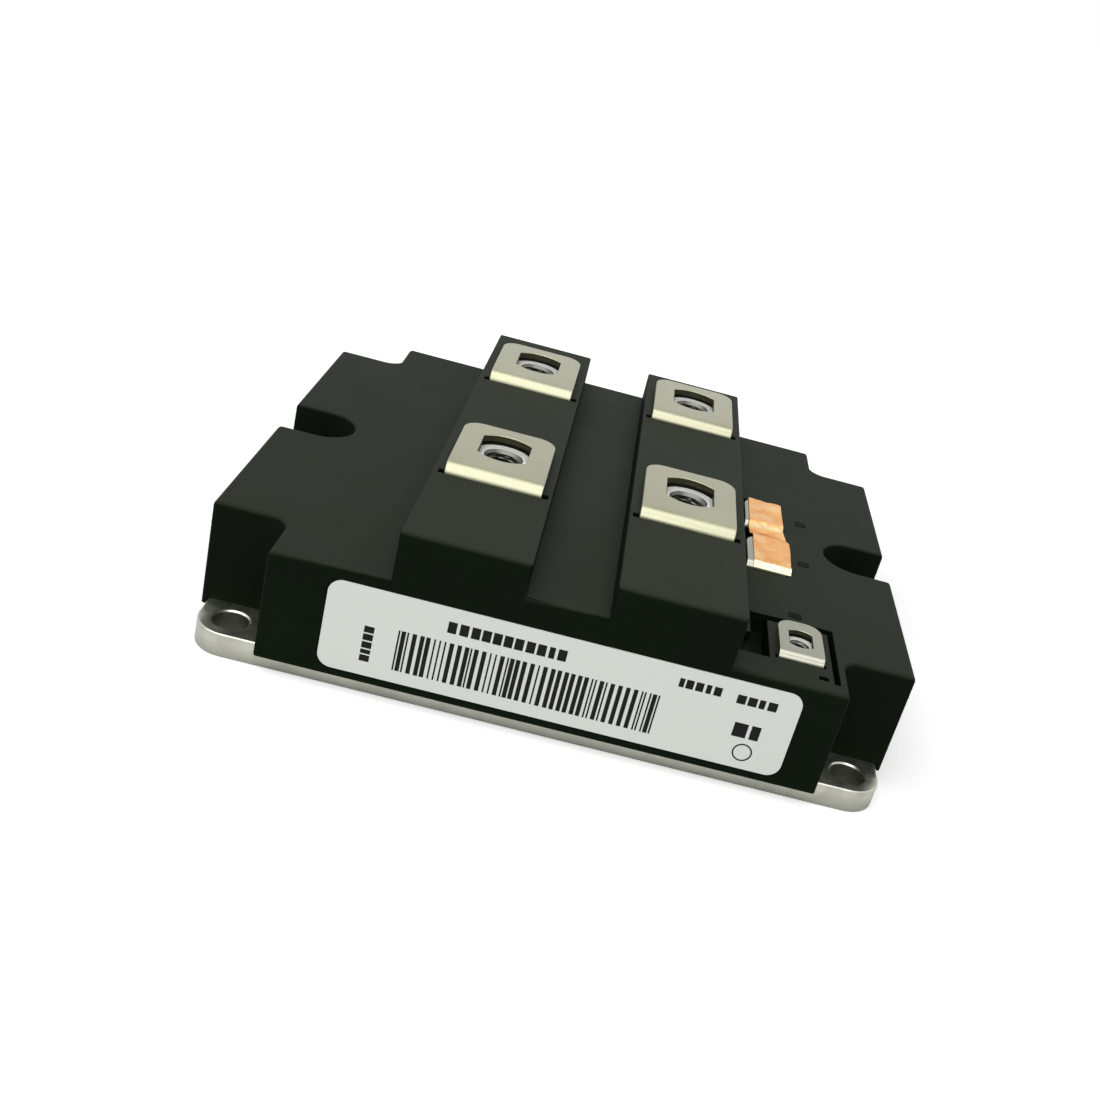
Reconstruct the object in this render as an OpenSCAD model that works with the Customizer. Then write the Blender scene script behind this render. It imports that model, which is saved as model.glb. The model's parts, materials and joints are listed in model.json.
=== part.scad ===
// Single-switch power transistor module in the 130 x 140 mm housing.
// Millimetres, +Z up, origin at the centre of the base plate's underside.
// +X runs along the long side, -Y is the side that carries the label.

/* [Housing] */
// Length of the housing along X
body_w = 140; // [139:0.5:150]
// Depth of the housing along Y
body_d = 130; // [129:0.5:140]
// Corner cut-out for the outer screws, along X
corner_w = 14.75; // [12:0.25:16]
// Corner cut-out for the outer screws, along Y
corner_d = 14.25; // [12:0.25:16]
// Fillet at the inside of each corner cut-out
corner_fillet = 3.7; // [1:0.1:6]
// Half width of the slot for each middle screw
slot_r = 7.15; // [5:0.05:9]
// Thickness of the outer walls
wall = 2.5; // [1.5:0.1:4]
// Underside of the skirt above the mounting surface
skirt_z = 3.3; // [1:0.1:4.5]
// Height of the joint between frame and cover
seam_z = 21.3; // [20.5:0.1:22.5]
// Height of the shoulders
shoulder_z = 25.9; // [25.4:0.1:26.2]
// Height of the floor between the two ridges
valley_z = 29.4; // [28:0.1:33]
// Height of the two ridges
ridge_z = 36.4; // [35:0.1:37]
// Inner side of each ridge, from the centre line
ridge_in = 7.9; // [5:0.1:8.4]
// Outer side of each ridge, from the centre line
ridge_out = 32.5; // [31.6:0.1:33.5]

/* [Base plate] */
// Length of the base plate
plate_w = 137; // [133:0.5:137.5]
// Depth of the base plate
plate_d = 126; // [124:0.5:127.5]
// Thickness of the base plate
plate_t = 5; // [4.5:0.1:5.2]
// Corner radius of the base plate
plate_r = 6.5; // [2:0.5:12]
// Radius of the mounting holes
hole_r = 3.5; // [2.5:0.1:5]
// Chamfer at the top of each mounting hole
hole_chamfer = 0.7; // [0.2:0.1:1.5]
// Mounting hole position along X
hole_x = 62; // [60:0.5:63]
// Mounting hole position along Y
hole_y = 57; // [56:0.5:58]

/* [Power terminals] */
// Width of each terminal tab
tab_w = 20; // [14:0.5:20.5]
// Thickness of the terminal metal
tab_t = 1.5; // [0.8:0.1:3]
// Top face of the tabs
tab_z = 38.6; // [38:0.1:42]
// Distance of each tab's centre from the centre line
tab_x = 20; // [19.8:0.1:20.4]
// Distance between the front and rear screw of one ridge
tab_pitch = 61.5; // [58:0.5:64]
// Front screw position on the left ridge, along Y
left_y = -19.6; // [-40:0.1:0]
// Front screw position on the right ridge, along Y
right_y = -16.6; // [-40:0.1:0]
// From the screw axis to the outer face of the leg
leg_offset = 15.1; // [10:0.1:20]
// From the screw axis to the free end of the tab
tab_reach = 11.2; // [8:0.1:16]
// Corner radius at the free end of the tab
tab_corner = 4; // [1:0.5:8]
// Radius of the flatted hole in the tab
tab_hole_r = 6.9; // [4:0.1:8]
// Half width of the flatted hole between its flats
tab_flat = 5.15; // [4:0.05:8]
// Width of the large nut across its flats
nut_af = 13; // [11:0.5:14]
// Thickness of the large nut
nut_t = 6.5; // [4:0.1:8]
// Bore radius of the large nut
nut_bore_r = 3.4; // [2:0.05:5]

/* [Auxiliary terminals] */
// Width of each auxiliary tab
aux_w = 9.1; // [6:0.1:12]
// Thickness of the auxiliary metal
aux_t = 1; // [0.5:0.1:1.5]
// Top face of the auxiliary tabs
aux_z = 27.4; // [27:0.1:30]
// Length of the auxiliary tab, leg to rounded end
aux_len = 14; // [10:0.5:20]
// From the outer face of the leg to the screw axis
aux_hole = 6.9; // [5:0.1:9]
// Radius of the flatted hole in the auxiliary tab
aux_hole_r = 3.5; // [2:0.1:4]
// Half width of that hole between its flats
aux_flat = 2.4; // [1.5:0.1:3]
// Gate and emitter sense position along X
gate_x = 40.4; // [38:0.05:42]
// Outer face of the emitter sense terminal's leg, along Y
sense_leg_y = 3.45; // [-10:0.05:10]
// Outer face of the gate terminal's leg, along Y
gate_leg_y = -18.3; // [-30:0.05:-10]
// Collector sense position along X
collector_x = 45.95; // [40:0.05:50]
// Outer face of the collector sense terminal's leg, along Y
collector_leg_y = -56.1; // [-60:0.05:-50]
// Width of the small nut across its flats
small_af = 7; // [5:0.5:8]
// Thickness of the small nut
small_t = 3.2; // [2:0.1:5]
// Bore radius of the small nut
small_bore_r = 1.65; // [1:0.05:2.5]

/* [Shorting strip] */
// Thickness of the copper strip
strip_t = 0.3; // [0.1:0.05:0.6]
// Left edge of the strip along X
strip_x = 36.6; // [34:0.1:40]
// Width of the strip
strip_w = 8.8; // [5:0.1:12]

/* [Label] */
// Width of the label
label_w = 90.6; // [40:0.2:110]
// Height of the label
label_h = 18.8; // [8:0.2:19]
// Middle of the label along X
label_x = 1.9; // [-10:0.1:10]
// Middle of the label above the mounting surface
label_z = 14.4; // [13.2:0.1:15.8]
// Corner radius of the label
label_r = 2.8; // [1:0.1:5]
// Thickness of the label
label_t = 0.2; // [0.1:0.05:0.4]

/* [Power stage] */
// Length of each ceramic substrate
sub_w = 46; // [44:0.5:50]
// Depth of each ceramic substrate
sub_d = 50; // [46:0.5:52]
// Substrate centre along X
sub_x = 26.5; // [15:0.5:40]
// Substrate centre along Y
sub_y = 29; // [15:0.5:40]
// Side of the square transistor chips
igbt = 13; // [6:0.5:14]
// Side of the square diode chips
diode = 11; // [6:0.5:14]
// Thickness of the chips
chip_t = 0.3; // [0.1:0.05:0.5]
// Number of bond wires beside one another on a chip
wires = 3; // [1:1:4]
// Thickness of a bond wire
wire_t = 0.4; // [0.2:0.05:0.6]

/* [Hidden] */
gap = 0.2;                                  // clearance between loose parts
eps = 0.01;
roof = 2.5;                                 // thickness of the cover's roof
half_w = body_w / 2;
half_d = body_d / 2;
copper_t = 0.3;
ceramic_t = 0.7;
ceramic_z = plate_t + copper_t;
track_z = ceramic_z + ceramic_t;
pad_z = track_z + copper_t;                 // top of the copper tracks
chip_z = pad_z + chip_t;                    // top of the chips
low_bus = 9;                                // underside of the collector bus
low_bus_x = 36;                             // half length of the collector bus
low_foot_y = 51.5;                          // outer face of its feet
low_foot = 10;                              // half width of each foot
ear_x = 49;                                 // right end of its sense ear
ear_y = 45;                                 // rear edge of that ear, from centre
high_bus = 12;                              // underside of the emitter bus
high_bus_x = 43;                            // half length of the emitter bus
high_front = [-31.7, -18];                  // front emitter bus, low and high y
high_rear = [13, 25];                       // rear emitter bus, low and high y
board_z = 17;                               // underside of the gate board
board_t = 1.2;
board_x = 50;                               // half length of the gate board
pin_x = 20.5;                               // gate pin, from the substrate centre
pin_y = 7.5;                                // gate pin, from the centre line
resistors = [-44, -24, 12, 28];             // left end of each gate resistor
gel_low = 8.4;                              // underside of the drawn gel
gel_z = 15.5;                               // surface of the gel
slot_z = 21.8;                              // floor of the slots in the cover
slot_floor = slot_z - 2;                    // underside of those floors
boss = 9;                                   // half side of a large nut's block
small_boss = 5;                             // half side of a small nut's block
// x0, x1, y0, y1 and floor of the three slots that leave the collector sense
// terminal on an island, then of the pockets behind the other two tabs
slots = [[36.2, 39.7, -56.9, -39.3, slot_z], [36.2, 53.6, -41.5, -39.3, slot_z],
         [52.3, 53.6, -61.3, -39.3, slot_z], [36.2, 45.6, -3.7, 3.1, slot_z],
         [36.2, 45.6, 18, 20.7, slot_z]];
// the same for the ledge beside the left slot and the key hole in the front lip
recesses = [[33.8, 36.3, -56.9, -48.6, shoulder_z - 2.2],
            [49.3, 51.2, -60.8, -59.3, shoulder_z - 2]];
nut_z = ridge_z - 0.3;                      // top of the large nuts
small_z = shoulder_z - 0.3;                 // top of the small nuts
bend_r = tab_t + 0.3;                       // outer bend radius of the tabs
aux_bend = aux_t + 0.2;
screw_end = tab_z - 16;                     // deepest point of an M8 screw
small_end = aux_z - 8;                      // deepest point of an M4 screw
substrates = [[1, 1], [-1, 1], [-1, -1], [1, -1]];
chip_x = [-14.5, 0.5];                      // chip centres, from the substrate's
igbt_y = [-2, 12.5];
diode_y = -16;
// x, y of the four power screws, left ridge then right ridge
power = [[-tab_x, left_y], [-tab_x, left_y + tab_pitch],
         [tab_x, right_y], [tab_x, right_y + tab_pitch]];
// x, leg face y of the three auxiliary terminals
aux = [[gate_x, gate_leg_y], [gate_x, sense_leg_y],
       [collector_x, collector_leg_y]];

// ---- outlines ----
// Housing outline, drawn in from the outside by `inset` all round.
module outline(inset = 0) {
  w = corner_w + inset;
  d = corner_d + inset;
  f = corner_fillet + inset;
  difference() {
    square([body_w - 2 * inset, body_d - 2 * inset], center = true);
    for (sx = [-1, 1], sy = [-1, 1])
      translate([sx * half_w, sy * half_d])
        corner_cut(w, d, f, sx, sy);
    for (sx = [-1, 1]) {
      translate([sx * hole_x, 0]) circle(r = slot_r + inset, $fn = 96);
      translate([sx * (hole_x + 10), 0])
        square([20, 2 * (slot_r + inset)], center = true);
    }
  }
}

// Rectangle at a corner with its inner corner rounded.
module corner_cut(w, d, f, sx, sy) {
  x0 = sx > 0 ? -w : -1;
  y0 = sy > 0 ? -d : -1;
  difference() {
    translate([x0, y0]) square([w + 1, d + 1]);
    translate([-sx * (w - f), -sy * (d - f)]) difference() {
      translate([sx > 0 ? -f - 1 : 0, sy > 0 ? -f - 1 : 0])
        square(f + 1);
      circle(r = f, $fn = 64);
    }
  }
}

// Rectangle with rounded corners, centred.
module round_rect(w, d, r) {
  square([w - 2 * r, d], center = true);
  square([w, d - 2 * r], center = true);
  for (sx = [-1, 1], sy = [-1, 1])
    translate([sx * (w / 2 - r), sy * (d / 2 - r)]) circle(r = r, $fn = 64);
}

// Round hole with a flat on its left and right.
module flatted(r, flat) {
  intersection() {
    circle(r = r, $fn = 64);
    square([2 * flat, 2 * r + 1], center = true);
  }
}

module box(x0, x1, y0, y1, z0, z1) {
  translate([x0, y0, z0]) cube([x1 - x0, y1 - y0, z1 - z0]);
}

module hex(af, h) {
  rotate([0, 0, 30]) cylinder(d = af / cos(30), h = h, $fn = 6);
}

// ---- base ----
module base_plate() {
  color([0.80, 0.79, 0.74]) difference() {
    linear_extrude(plate_t) round_rect(plate_w, plate_d, plate_r);
    for (sx = [-1, 1], y = [-hole_y, 0, hole_y]) translate([sx * hole_x, y]) {
      translate([0, 0, -1]) cylinder(r = hole_r, h = plate_t + 2, $fn = 64);
      translate([0, 0, plate_t - hole_chamfer])
        cylinder(r1 = hole_r, r2 = hole_r + hole_chamfer + eps,
                 h = hole_chamfer + eps, $fn = 64);
    }
  }
}

// Silicone bead that seals the frame to the plate.
module plate_seal() {
  color([0.86, 0.86, 0.84]) translate([0, 0, plate_t])
    linear_extrude(0.3) difference() {
      outline(wall + 0.1);
      outline(wall + 1.6);
    }
}

// ---- housing ----
module housing_frame() {
  color([0.12, 0.14, 0.13]) difference() {
    translate([0, 0, skirt_z]) linear_extrude(seam_z - skirt_z) outline();
    translate([0, 0, skirt_z - 1])
      linear_extrude(plate_t - skirt_z + 1)
        round_rect(plate_w + 2 * gap, plate_d + 2 * gap, plate_r + gap);
    translate([0, 0, plate_t - 1]) linear_extrude(seam_z) outline(wall);
    label_slab(gap);
  }
}

// Blocks under the roof that hold the nuts and end the screw holes.
module cover_bosses() {
  for (p = power)
    box(p[0] - boss, p[0] + boss, p[1] - boss, p[1] + boss, screw_end - 2,
        ridge_z - 1);
  for (a = aux) {
    y = a[1] + aux_hole;
    box(a[0] - small_boss, a[0] + small_boss, y - small_boss,
        y + small_boss, small_end - 1.2, shoulder_z - 1);
  }
  // floors under the slots and pockets, 1.5 mm wider than each of them and
  // clear of the frame's wall
  inner_x = half_w - corner_w - wall - gap;
  for (c = slots)
    box(c[0] - 1.5, min(c[1] + 1.5, inner_x),
        max(c[2] - 1.5, wall + 0.3 - half_d), c[3] + 1.5, slot_floor,
        shoulder_z - 1);
  // the island's floor joins the front wall above the frame
  box(34.7, 55.1, 1 - half_d, -37.8, seam_z, shoulder_z - 1);
}

// Everything that is sunk into the cover from above.
module cover_cuts() {
  for (p = power) {
    leg = p[1] - leg_offset;
    box(p[0] - tab_w / 2 - 1.3, p[0] + tab_w / 2 + 1.3, leg - 0.1,
        leg + tab_t + 0.5, seam_z - 4, ridge_z + 1);
    translate([p[0], p[1], nut_z - nut_t]) hex(nut_af + gap, 20);
    translate([p[0], p[1], screw_end]) cylinder(r = 4.5, h = 20, $fn = 48);
  }
  for (a = aux) {
    box(a[0] - aux_w / 2 - 0.5, a[0] + aux_w / 2 + 0.5, a[1] - 0.1,
        a[1] + aux_t + 0.4, seam_z - 4, shoulder_z + 1);
    translate([a[0], a[1] + aux_hole, small_z - small_t])
      hex(small_af + gap, 20);
    translate([a[0], a[1] + aux_hole, small_end])
      cylinder(r = 2.3, h = 20, $fn = 48);
  }
  for (c = concat(slots, recesses))
    box(c[0], c[1], c[2], c[3], c[4], ridge_z);
}

module cover() {
  color([0.19, 0.21, 0.19]) difference() {
    union() {
      difference() {
        union() {
          translate([0, 0, seam_z])
            linear_extrude(shoulder_z - seam_z) outline();
          box(-ridge_out, ridge_out, -half_d, half_d, seam_z, valley_z);
          for (s = [-1, 1])
            translate([s * (ridge_in + ridge_out) / 2, 0, 0])
              box((ridge_in - ridge_out) / 2, (ridge_out - ridge_in) / 2,
                  -half_d, half_d, seam_z, ridge_z);
        }
        translate([0, 0, seam_z - 1])
          linear_extrude(shoulder_z - roof - seam_z + 1) outline(wall);
        box(wall - ridge_out, ridge_out - wall, wall - half_d,
            half_d - wall, seam_z - 1, valley_z - roof);
        for (s = [-1, 1])
          translate([s * (ridge_in + ridge_out) / 2, 0, 0])
            box((ridge_in - ridge_out) / 2 + wall,
                (ridge_out - ridge_in) / 2 - wall, wall - half_d,
                half_d - wall, seam_z - 1, ridge_z - roof);
      }
      cover_bosses();
      // lip that drops inside the frame
      translate([0, 0, seam_z - 2]) linear_extrude(3) difference() {
        outline(wall + gap);
        outline(wall + gap + 1.2);
      }
    }
    cover_cuts();
    label_slab(gap);
  }
}

// Slab of the label's outline, sunk into the front face; `grow` widens it.
module label_slab(grow) {
  translate([label_x, label_t - half_d, label_z]) rotate([90, 0, 0])
    linear_extrude(label_t + grow)
      round_rect(label_w + 2 * grow, label_h + 2 * grow, label_r + grow);
}

module label() { color([0.86, 0.87, 0.85]) label_slab(0); }

// ---- terminals ----
// Tab with its bend and leg; the leg's outer face is at y = 0.
module bent_tab(w, t, len, top, foot, hole, bend, corner) {
  translate([0, 0, top - t]) difference() {
    linear_extrude(t) difference() {
      union() {
        translate([-w / 2, bend]) square([w, len - bend - corner]);
        translate([corner - w / 2, bend])
          square([w - 2 * corner, len - bend]);
        for (s = [-1, 1])
          translate([s * (w / 2 - corner), len - corner])
            circle(r = corner, $fn = 64);
      }
      translate([0, hole[0]]) flatted(hole[1], hole[2]);
    }
  }
  translate([-w / 2, bend, top - bend]) rotate([90, 0, 90])
    linear_extrude(w) intersection() {
      difference() {
        circle(r = bend, $fn = 64);
        circle(r = bend - t, $fn = 48);
      }
      translate([-bend - 1, 0]) square([bend + 1, bend + 1]);
    }
  box(-w / 2, w / 2, 0, t, foot, top - bend);
}

module power_tab(x, y, foot) {
  translate([x, y - leg_offset, 0])
    bent_tab(tab_w, tab_t, leg_offset + tab_reach, tab_z, foot,
             [leg_offset, tab_hole_r, tab_flat], bend_r, tab_corner);
}

// Collector bus: leg, flat bar, two feet on the outer edge of the tracks.
module collector_terminal(i, side) {
  leg = power[i][1] - leg_offset;
  edge = side * low_foot_y;
  color([0.78, 0.77, 0.70]) {
    power_tab(power[i][0], power[i][1], low_bus);
    box(-low_bus_x, low_bus_x, side < 0 ? edge : leg,
        side < 0 ? leg + tab_t : edge, low_bus, low_bus + tab_t);
    for (s = [-1, 1])
      box(s * sub_x - low_foot, s * sub_x + low_foot,
          edge - (side > 0 ? tab_t : 0), edge + (side < 0 ? tab_t : 0),
          pad_z, low_bus + eps);
  }
}
module collector_terminal_front() {
  collector_terminal(0, -1);
  // ear for the collector sense lead
  color([0.78, 0.77, 0.70])
    box(low_bus_x - 1, ear_x, -low_foot_y, -ear_y, low_bus, low_bus + tab_t);
}
module collector_terminal_rear() { collector_terminal(1, 1); }

// Emitter bus: leg, flat bar, two feet on the emitter tracks.
module emitter_terminal(i, y) {
  leg = power[i][1] - leg_offset;
  color([0.78, 0.77, 0.70]) {
    power_tab(power[i][0], power[i][1], high_bus);
    box(-high_bus_x, high_bus_x, y[0], y[1], high_bus, high_bus + tab_t);
    box(tab_x - tab_w / 2, tab_x + tab_w / 2, min(leg, y[0]),
        max(leg + tab_t, y[1]), high_bus, high_bus + tab_t);
    for (s = [-1, 1])
      box(s > 0 ? high_bus_x - tab_t : -high_bus_x,
          s > 0 ? high_bus_x : tab_t - high_bus_x, y[0], y[1], pad_z,
          high_bus + eps);
  }
}
module emitter_terminal_front() { emitter_terminal(2, high_front); }
module emitter_terminal_rear() { emitter_terminal(3, high_rear); }

module aux_tab(i, foot) {
  translate([aux[i][0], aux[i][1], 0])
    bent_tab(aux_w, aux_t, aux_len, aux_z, foot,
             [aux_hole, aux_hole_r, aux_flat], aux_bend, 3.4);
}
module gate_terminal() {
  color([0.78, 0.77, 0.70]) aux_tab(0, board_z + board_t);
}
module emitter_sense_terminal() {
  color([0.78, 0.77, 0.70]) aux_tab(1, board_z + board_t);
}
module collector_sense_terminal() {
  foot = low_bus + tab_t;
  color([0.78, 0.77, 0.70]) {
    aux_tab(2, foot);
    box(collector_x - 3, collector_x + 3, collector_leg_y, -ear_y - 1, foot,
        foot + aux_t);
  }
}

module hex_nut(af, h, bore) {
  lead = 0.16 * af / 2;
  difference() {
    intersection() {
      hex(af, h);
      union() {
        cylinder(d = af * 1.2, h = h - 0.09 * af, $fn = 64);
        translate([0, 0, h - 0.09 * af])
          cylinder(d1 = af * 1.2, d2 = af * 0.96, h = 0.09 * af, $fn = 64);
      }
    }
    translate([0, 0, -1]) cylinder(r = bore, h = h + 2, $fn = 48);
    translate([0, 0, h - lead])
      cylinder(r1 = bore, r2 = bore + lead + eps, h = lead + eps, $fn = 48);
  }
}
module m8_nuts() {
  color([0.82, 0.82, 0.84]) for (p = power)
    translate([p[0], p[1], nut_z - nut_t]) hex_nut(nut_af, nut_t, nut_bore_r);
}
module m4_nuts() {
  color([0.82, 0.82, 0.84]) for (a = aux)
    translate([a[0], a[1] + aux_hole, small_z - small_t])
      hex_nut(small_af, small_t, small_bore_r);
}

// Copper strip folded over the gate and emitter sense tabs.
module shorting_strip() {
  front = gate_leg_y - gap;
  rear = sense_leg_y + 12.9;
  color([0.85, 0.50, 0.32]) {
    box(strip_x, strip_x + strip_w, front, rear, aux_z, aux_z + strip_t);
    box(strip_x, strip_x + strip_w, front - strip_t, front,
        shoulder_z + 0.1, aux_z + strip_t);
  }
}

// ---- power stage, sealed inside ----
// Places one substrate's parts; local +X is outwards, +Y is outwards.
module each_substrate() {
  for (s = substrates)
    translate([s[0] * sub_x, s[1] * sub_y, 0])
      mirror([s[0] < 0 ? 1 : 0, 0, 0]) mirror([0, s[1] < 0 ? 1 : 0, 0])
        children();
}
module bottom_copper() {
  color([0.80, 0.45, 0.30]) each_substrate()
    translate([0, 0, plate_t + copper_t / 2])
      cube([sub_w - 2, sub_d - 2, copper_t], center = true);
}
module ceramic_substrates() {
  color([0.90, 0.90, 0.88]) each_substrate()
    translate([0, 0, ceramic_z + ceramic_t / 2])
      cube([sub_w, sub_d, ceramic_t], center = true);
}
module top_copper() {
  color([0.80, 0.45, 0.30]) each_substrate() {
    y = sub_d / 2 - 1;
    box(1 - sub_w / 2, 8.5, -y, y, track_z, pad_z);   // collector track
    box(9.5, 18, -y, y, track_z, pad_z);              // emitter track
    box(19, sub_w / 2 - 1, -y, y, track_z, pad_z);    // gate track
  }
}
module igbt_chips() {
  color([0.45, 0.46, 0.50]) each_substrate()
    for (x = chip_x, y = igbt_y)
      translate([x, y, pad_z + chip_t / 2])
        cube([igbt, igbt, chip_t], center = true);
}
module diode_chips() {
  color([0.55, 0.56, 0.60]) each_substrate()
    for (x = chip_x)
      translate([x, diode_y, pad_z + chip_t / 2])
        cube([diode, diode, chip_t], center = true);
}
// One arched wire from x0 to x1, ends on the given heights.
module wire(x0, x1, z0, z1, y) {
  r = (x1 - x0) / 2;
  rise = 1.2;
  big = (r * r + rise * rise) / (2 * rise);
  base = max(z0, z1);
  translate([(x0 + x1) / 2, y + wire_t / 2, base]) rotate([90, 0, 0])
    linear_extrude(wire_t) intersection() {
      translate([0, rise - big]) difference() {
        circle(r = big, $fn = 96);
        circle(r = big - wire_t, $fn = 96);
      }
      translate([-r, 0]) square([2 * r, rise + 1]);
    }
  if (z1 < base) box(x1 - wire_t, x1, y - wire_t / 2, y + wire_t / 2, z1,
                     base + wire_t / 2);
}
module bond_wires() {
  color([0.85, 0.85, 0.86]) each_substrate()
    for (y = concat(diode_y, igbt_y), k = [0 : wires - 1]) {
      yy = y + (k - (wires - 1) / 2) * 2.6;
      wire(-12, -2, chip_z, chip_z, yy);
      wire(2, 12.5, chip_z, pad_z, yy);
    }
}

// ---- gate wiring, sealed inside ----
module gate_board() {
  color([0.16, 0.38, 0.24]) {
    box(-board_x, board_x, -14, 10.5, board_z, board_z + board_t);
    box(33.6, board_x, -20, -14 + eps, board_z, board_z + board_t);
  }
}
module gate_resistors() {
  color([0.15, 0.15, 0.16]) for (x = resistors)
    box(x, x + 3.2, -9, -7.4, board_z + board_t, board_z + board_t + 0.6);
}
module gate_pins() {
  color([0.84, 0.84, 0.80]) for (sx = [-1, 1], sy = [-1, 1])
    translate([sx * (sub_x + pin_x), sy * pin_y, pad_z])
      cylinder(r = 0.5, h = board_z - pad_z, $fn = 24);
}

// Gel over the chips, drawn from just above the bond wires.
module silicone_gel() {
  color([0.92, 0.93, 0.92]) difference() {
    translate([0, 0, gel_low]) linear_extrude(gel_z - gel_low)
      outline(wall + 0.1);
    collector_terminal_front();
    collector_terminal_rear();
    emitter_terminal_front();
    emitter_terminal_rear();
    collector_sense_terminal();
    gate_pins();
  }
}

// ---- drawing ----
base_plate();
plate_seal();
housing_frame();
cover();
label();
collector_terminal_front();
collector_terminal_rear();
emitter_terminal_front();
emitter_terminal_rear();
m8_nuts();
gate_terminal();
emitter_sense_terminal();
collector_sense_terminal();
m4_nuts();
shorting_strip();
bottom_copper();
ceramic_substrates();
top_copper();
igbt_chips();
diode_chips();
bond_wires();
gate_board();
gate_resistors();
gate_pins();
silicone_gel();
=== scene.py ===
"""Looks of a single-switch power transistor module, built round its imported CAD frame."""

import json
import math

import bmesh
import bpy
from bpy.props import FloatProperty, FloatVectorProperty, IntProperty, PointerProperty
from mathutils import Matrix, Vector, noise


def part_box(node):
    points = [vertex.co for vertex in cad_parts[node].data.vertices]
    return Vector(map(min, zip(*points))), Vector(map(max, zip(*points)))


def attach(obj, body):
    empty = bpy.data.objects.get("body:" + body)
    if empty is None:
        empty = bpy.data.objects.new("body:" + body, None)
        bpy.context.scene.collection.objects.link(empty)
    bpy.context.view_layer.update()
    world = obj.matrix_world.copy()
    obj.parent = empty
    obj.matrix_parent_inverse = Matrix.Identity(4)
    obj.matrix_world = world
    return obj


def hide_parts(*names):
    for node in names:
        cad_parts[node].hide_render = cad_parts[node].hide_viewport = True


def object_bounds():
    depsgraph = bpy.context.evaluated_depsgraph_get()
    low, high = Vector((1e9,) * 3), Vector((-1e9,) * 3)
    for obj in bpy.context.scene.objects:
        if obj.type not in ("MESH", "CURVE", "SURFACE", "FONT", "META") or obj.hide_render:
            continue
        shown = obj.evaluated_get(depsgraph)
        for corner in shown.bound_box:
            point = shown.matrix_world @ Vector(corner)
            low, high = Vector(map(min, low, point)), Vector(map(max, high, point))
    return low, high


bl_info = {
    "name": "Power Module Looks",
    "version": (1, 0, 0),
    "blender": (4, 5, 0),
    "location": "3D View > Sidebar > Module",
    "description": "Dresses the CAD frame of a power transistor module",
    "category": "Object",
}

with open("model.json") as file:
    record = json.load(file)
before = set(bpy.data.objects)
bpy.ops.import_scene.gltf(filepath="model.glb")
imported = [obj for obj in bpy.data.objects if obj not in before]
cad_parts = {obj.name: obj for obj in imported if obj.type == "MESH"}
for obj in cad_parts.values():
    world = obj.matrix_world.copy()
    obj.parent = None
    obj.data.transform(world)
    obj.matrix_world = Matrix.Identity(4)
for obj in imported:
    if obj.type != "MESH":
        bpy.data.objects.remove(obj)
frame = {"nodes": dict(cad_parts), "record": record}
CAD_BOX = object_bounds()

MM = 0.001
SAME_POINT = 2e-6          # vertices closer than this are one
FLAT = math.radians(0.4)   # faces closer than this in angle are one
EDGE = math.radians(32)    # a bend sharper than this is an edge

# Boxes and heights of the housing, read from the frame
FRAME_LO, FRAME_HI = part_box("housing_frame")
LABEL_LO, LABEL_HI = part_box("label")
PLATE_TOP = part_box("base_plate")[1].z
SEAM_Z = FRAME_HI.z
SHOULDER_Z = SEAM_Z + 4.6 * MM   # top of the cover beside the ridges
RIDGE_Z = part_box("cover")[1].z

# Nodes of the terminals; the foil covers the first two control terminals
POWER_NODES = ("collector_terminal_front", "collector_terminal_rear",
               "emitter_terminal_front", "emitter_terminal_rear")
CONTROL_NODES = ("gate_terminal", "emitter_sense_terminal", "collector_sense_terminal")
COVERED_NODES = CONTROL_NODES[:2]


# ---------------------------------------------------------------- settings
COLOUR = {"subtype": "COLOR", "size": 3, "min": 0, "max": 1}   # shared by all colours


class HousingLooks(bpy.types.PropertyGroup):
    """Moulded plastic of the frame and cover."""
    colour: FloatVectorProperty(
        name="Plastic colour", description="Black plastic of the frame and cover",
        **COLOUR, default=(0.0031, 0.0066, 0.0026))
    # A lighter colour for faces that look up: partly dust, partly painted sheen
    dust_and_sheen_colour: FloatVectorProperty(
        name="Dust and sheen colour", description="Dust and painted sheen on surfaces that face up",
        **COLOUR, default=(0.026, 0.032, 0.023))
    round_outer: FloatProperty(
        name="Outer rounding", description="Rounding of the shoulder and front edges",
        unit="LENGTH", min=0.2 * MM, max=1.4 * MM, default=1.1 * MM)
    grain: FloatProperty(
        name="Grain", description="Size of the moulded grain",
        unit="LENGTH", min=0.05 * MM, max=2 * MM, default=0.28 * MM)


class MetalLooks(bpy.types.PropertyGroup):
    """Plated metal of the base plate, tabs and nuts."""
    plate_colour: FloatVectorProperty(
        name="Base plate colour", description="Nickel plating of the base plate",
        **COLOUR, default=(0.72, 0.725, 0.625))
    tab_colour: FloatVectorProperty(
        name="Tab colour", description="Nickel plating of the terminal tabs",
        **COLOUR, default=(0.40, 0.397, 0.268))
    # Dark hole walls: bare cut metal, darkened further as painted shade inside the holes
    cut_and_shade_colour: FloatVectorProperty(
        name="Cut edge and shade colour", description="Bare metal inside punched holes, darkened as painted shade",
        **COLOUR, default=(0.055, 0.056, 0.032))
    nut_colour: FloatVectorProperty(
        name="Nut colour", description="Zinc plating of the nuts",
        **COLOUR, default=(0.98, 0.98, 0.93))
    thread_colour: FloatVectorProperty(
        name="Thread colour", description="Cut steel of the threads",
        **COLOUR, default=(0.17, 0.172, 0.150))
    coarse_pitch: FloatProperty(
        name="M8 pitch", description="Thread pitch of the large nuts",
        unit="LENGTH", min=0.5 * MM, max=2 * MM, default=1.25 * MM)
    fine_pitch: FloatProperty(
        name="M4 pitch", description="Thread pitch of the small nuts",
        unit="LENGTH", min=0.3 * MM, max=1 * MM, default=0.7 * MM)


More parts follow.
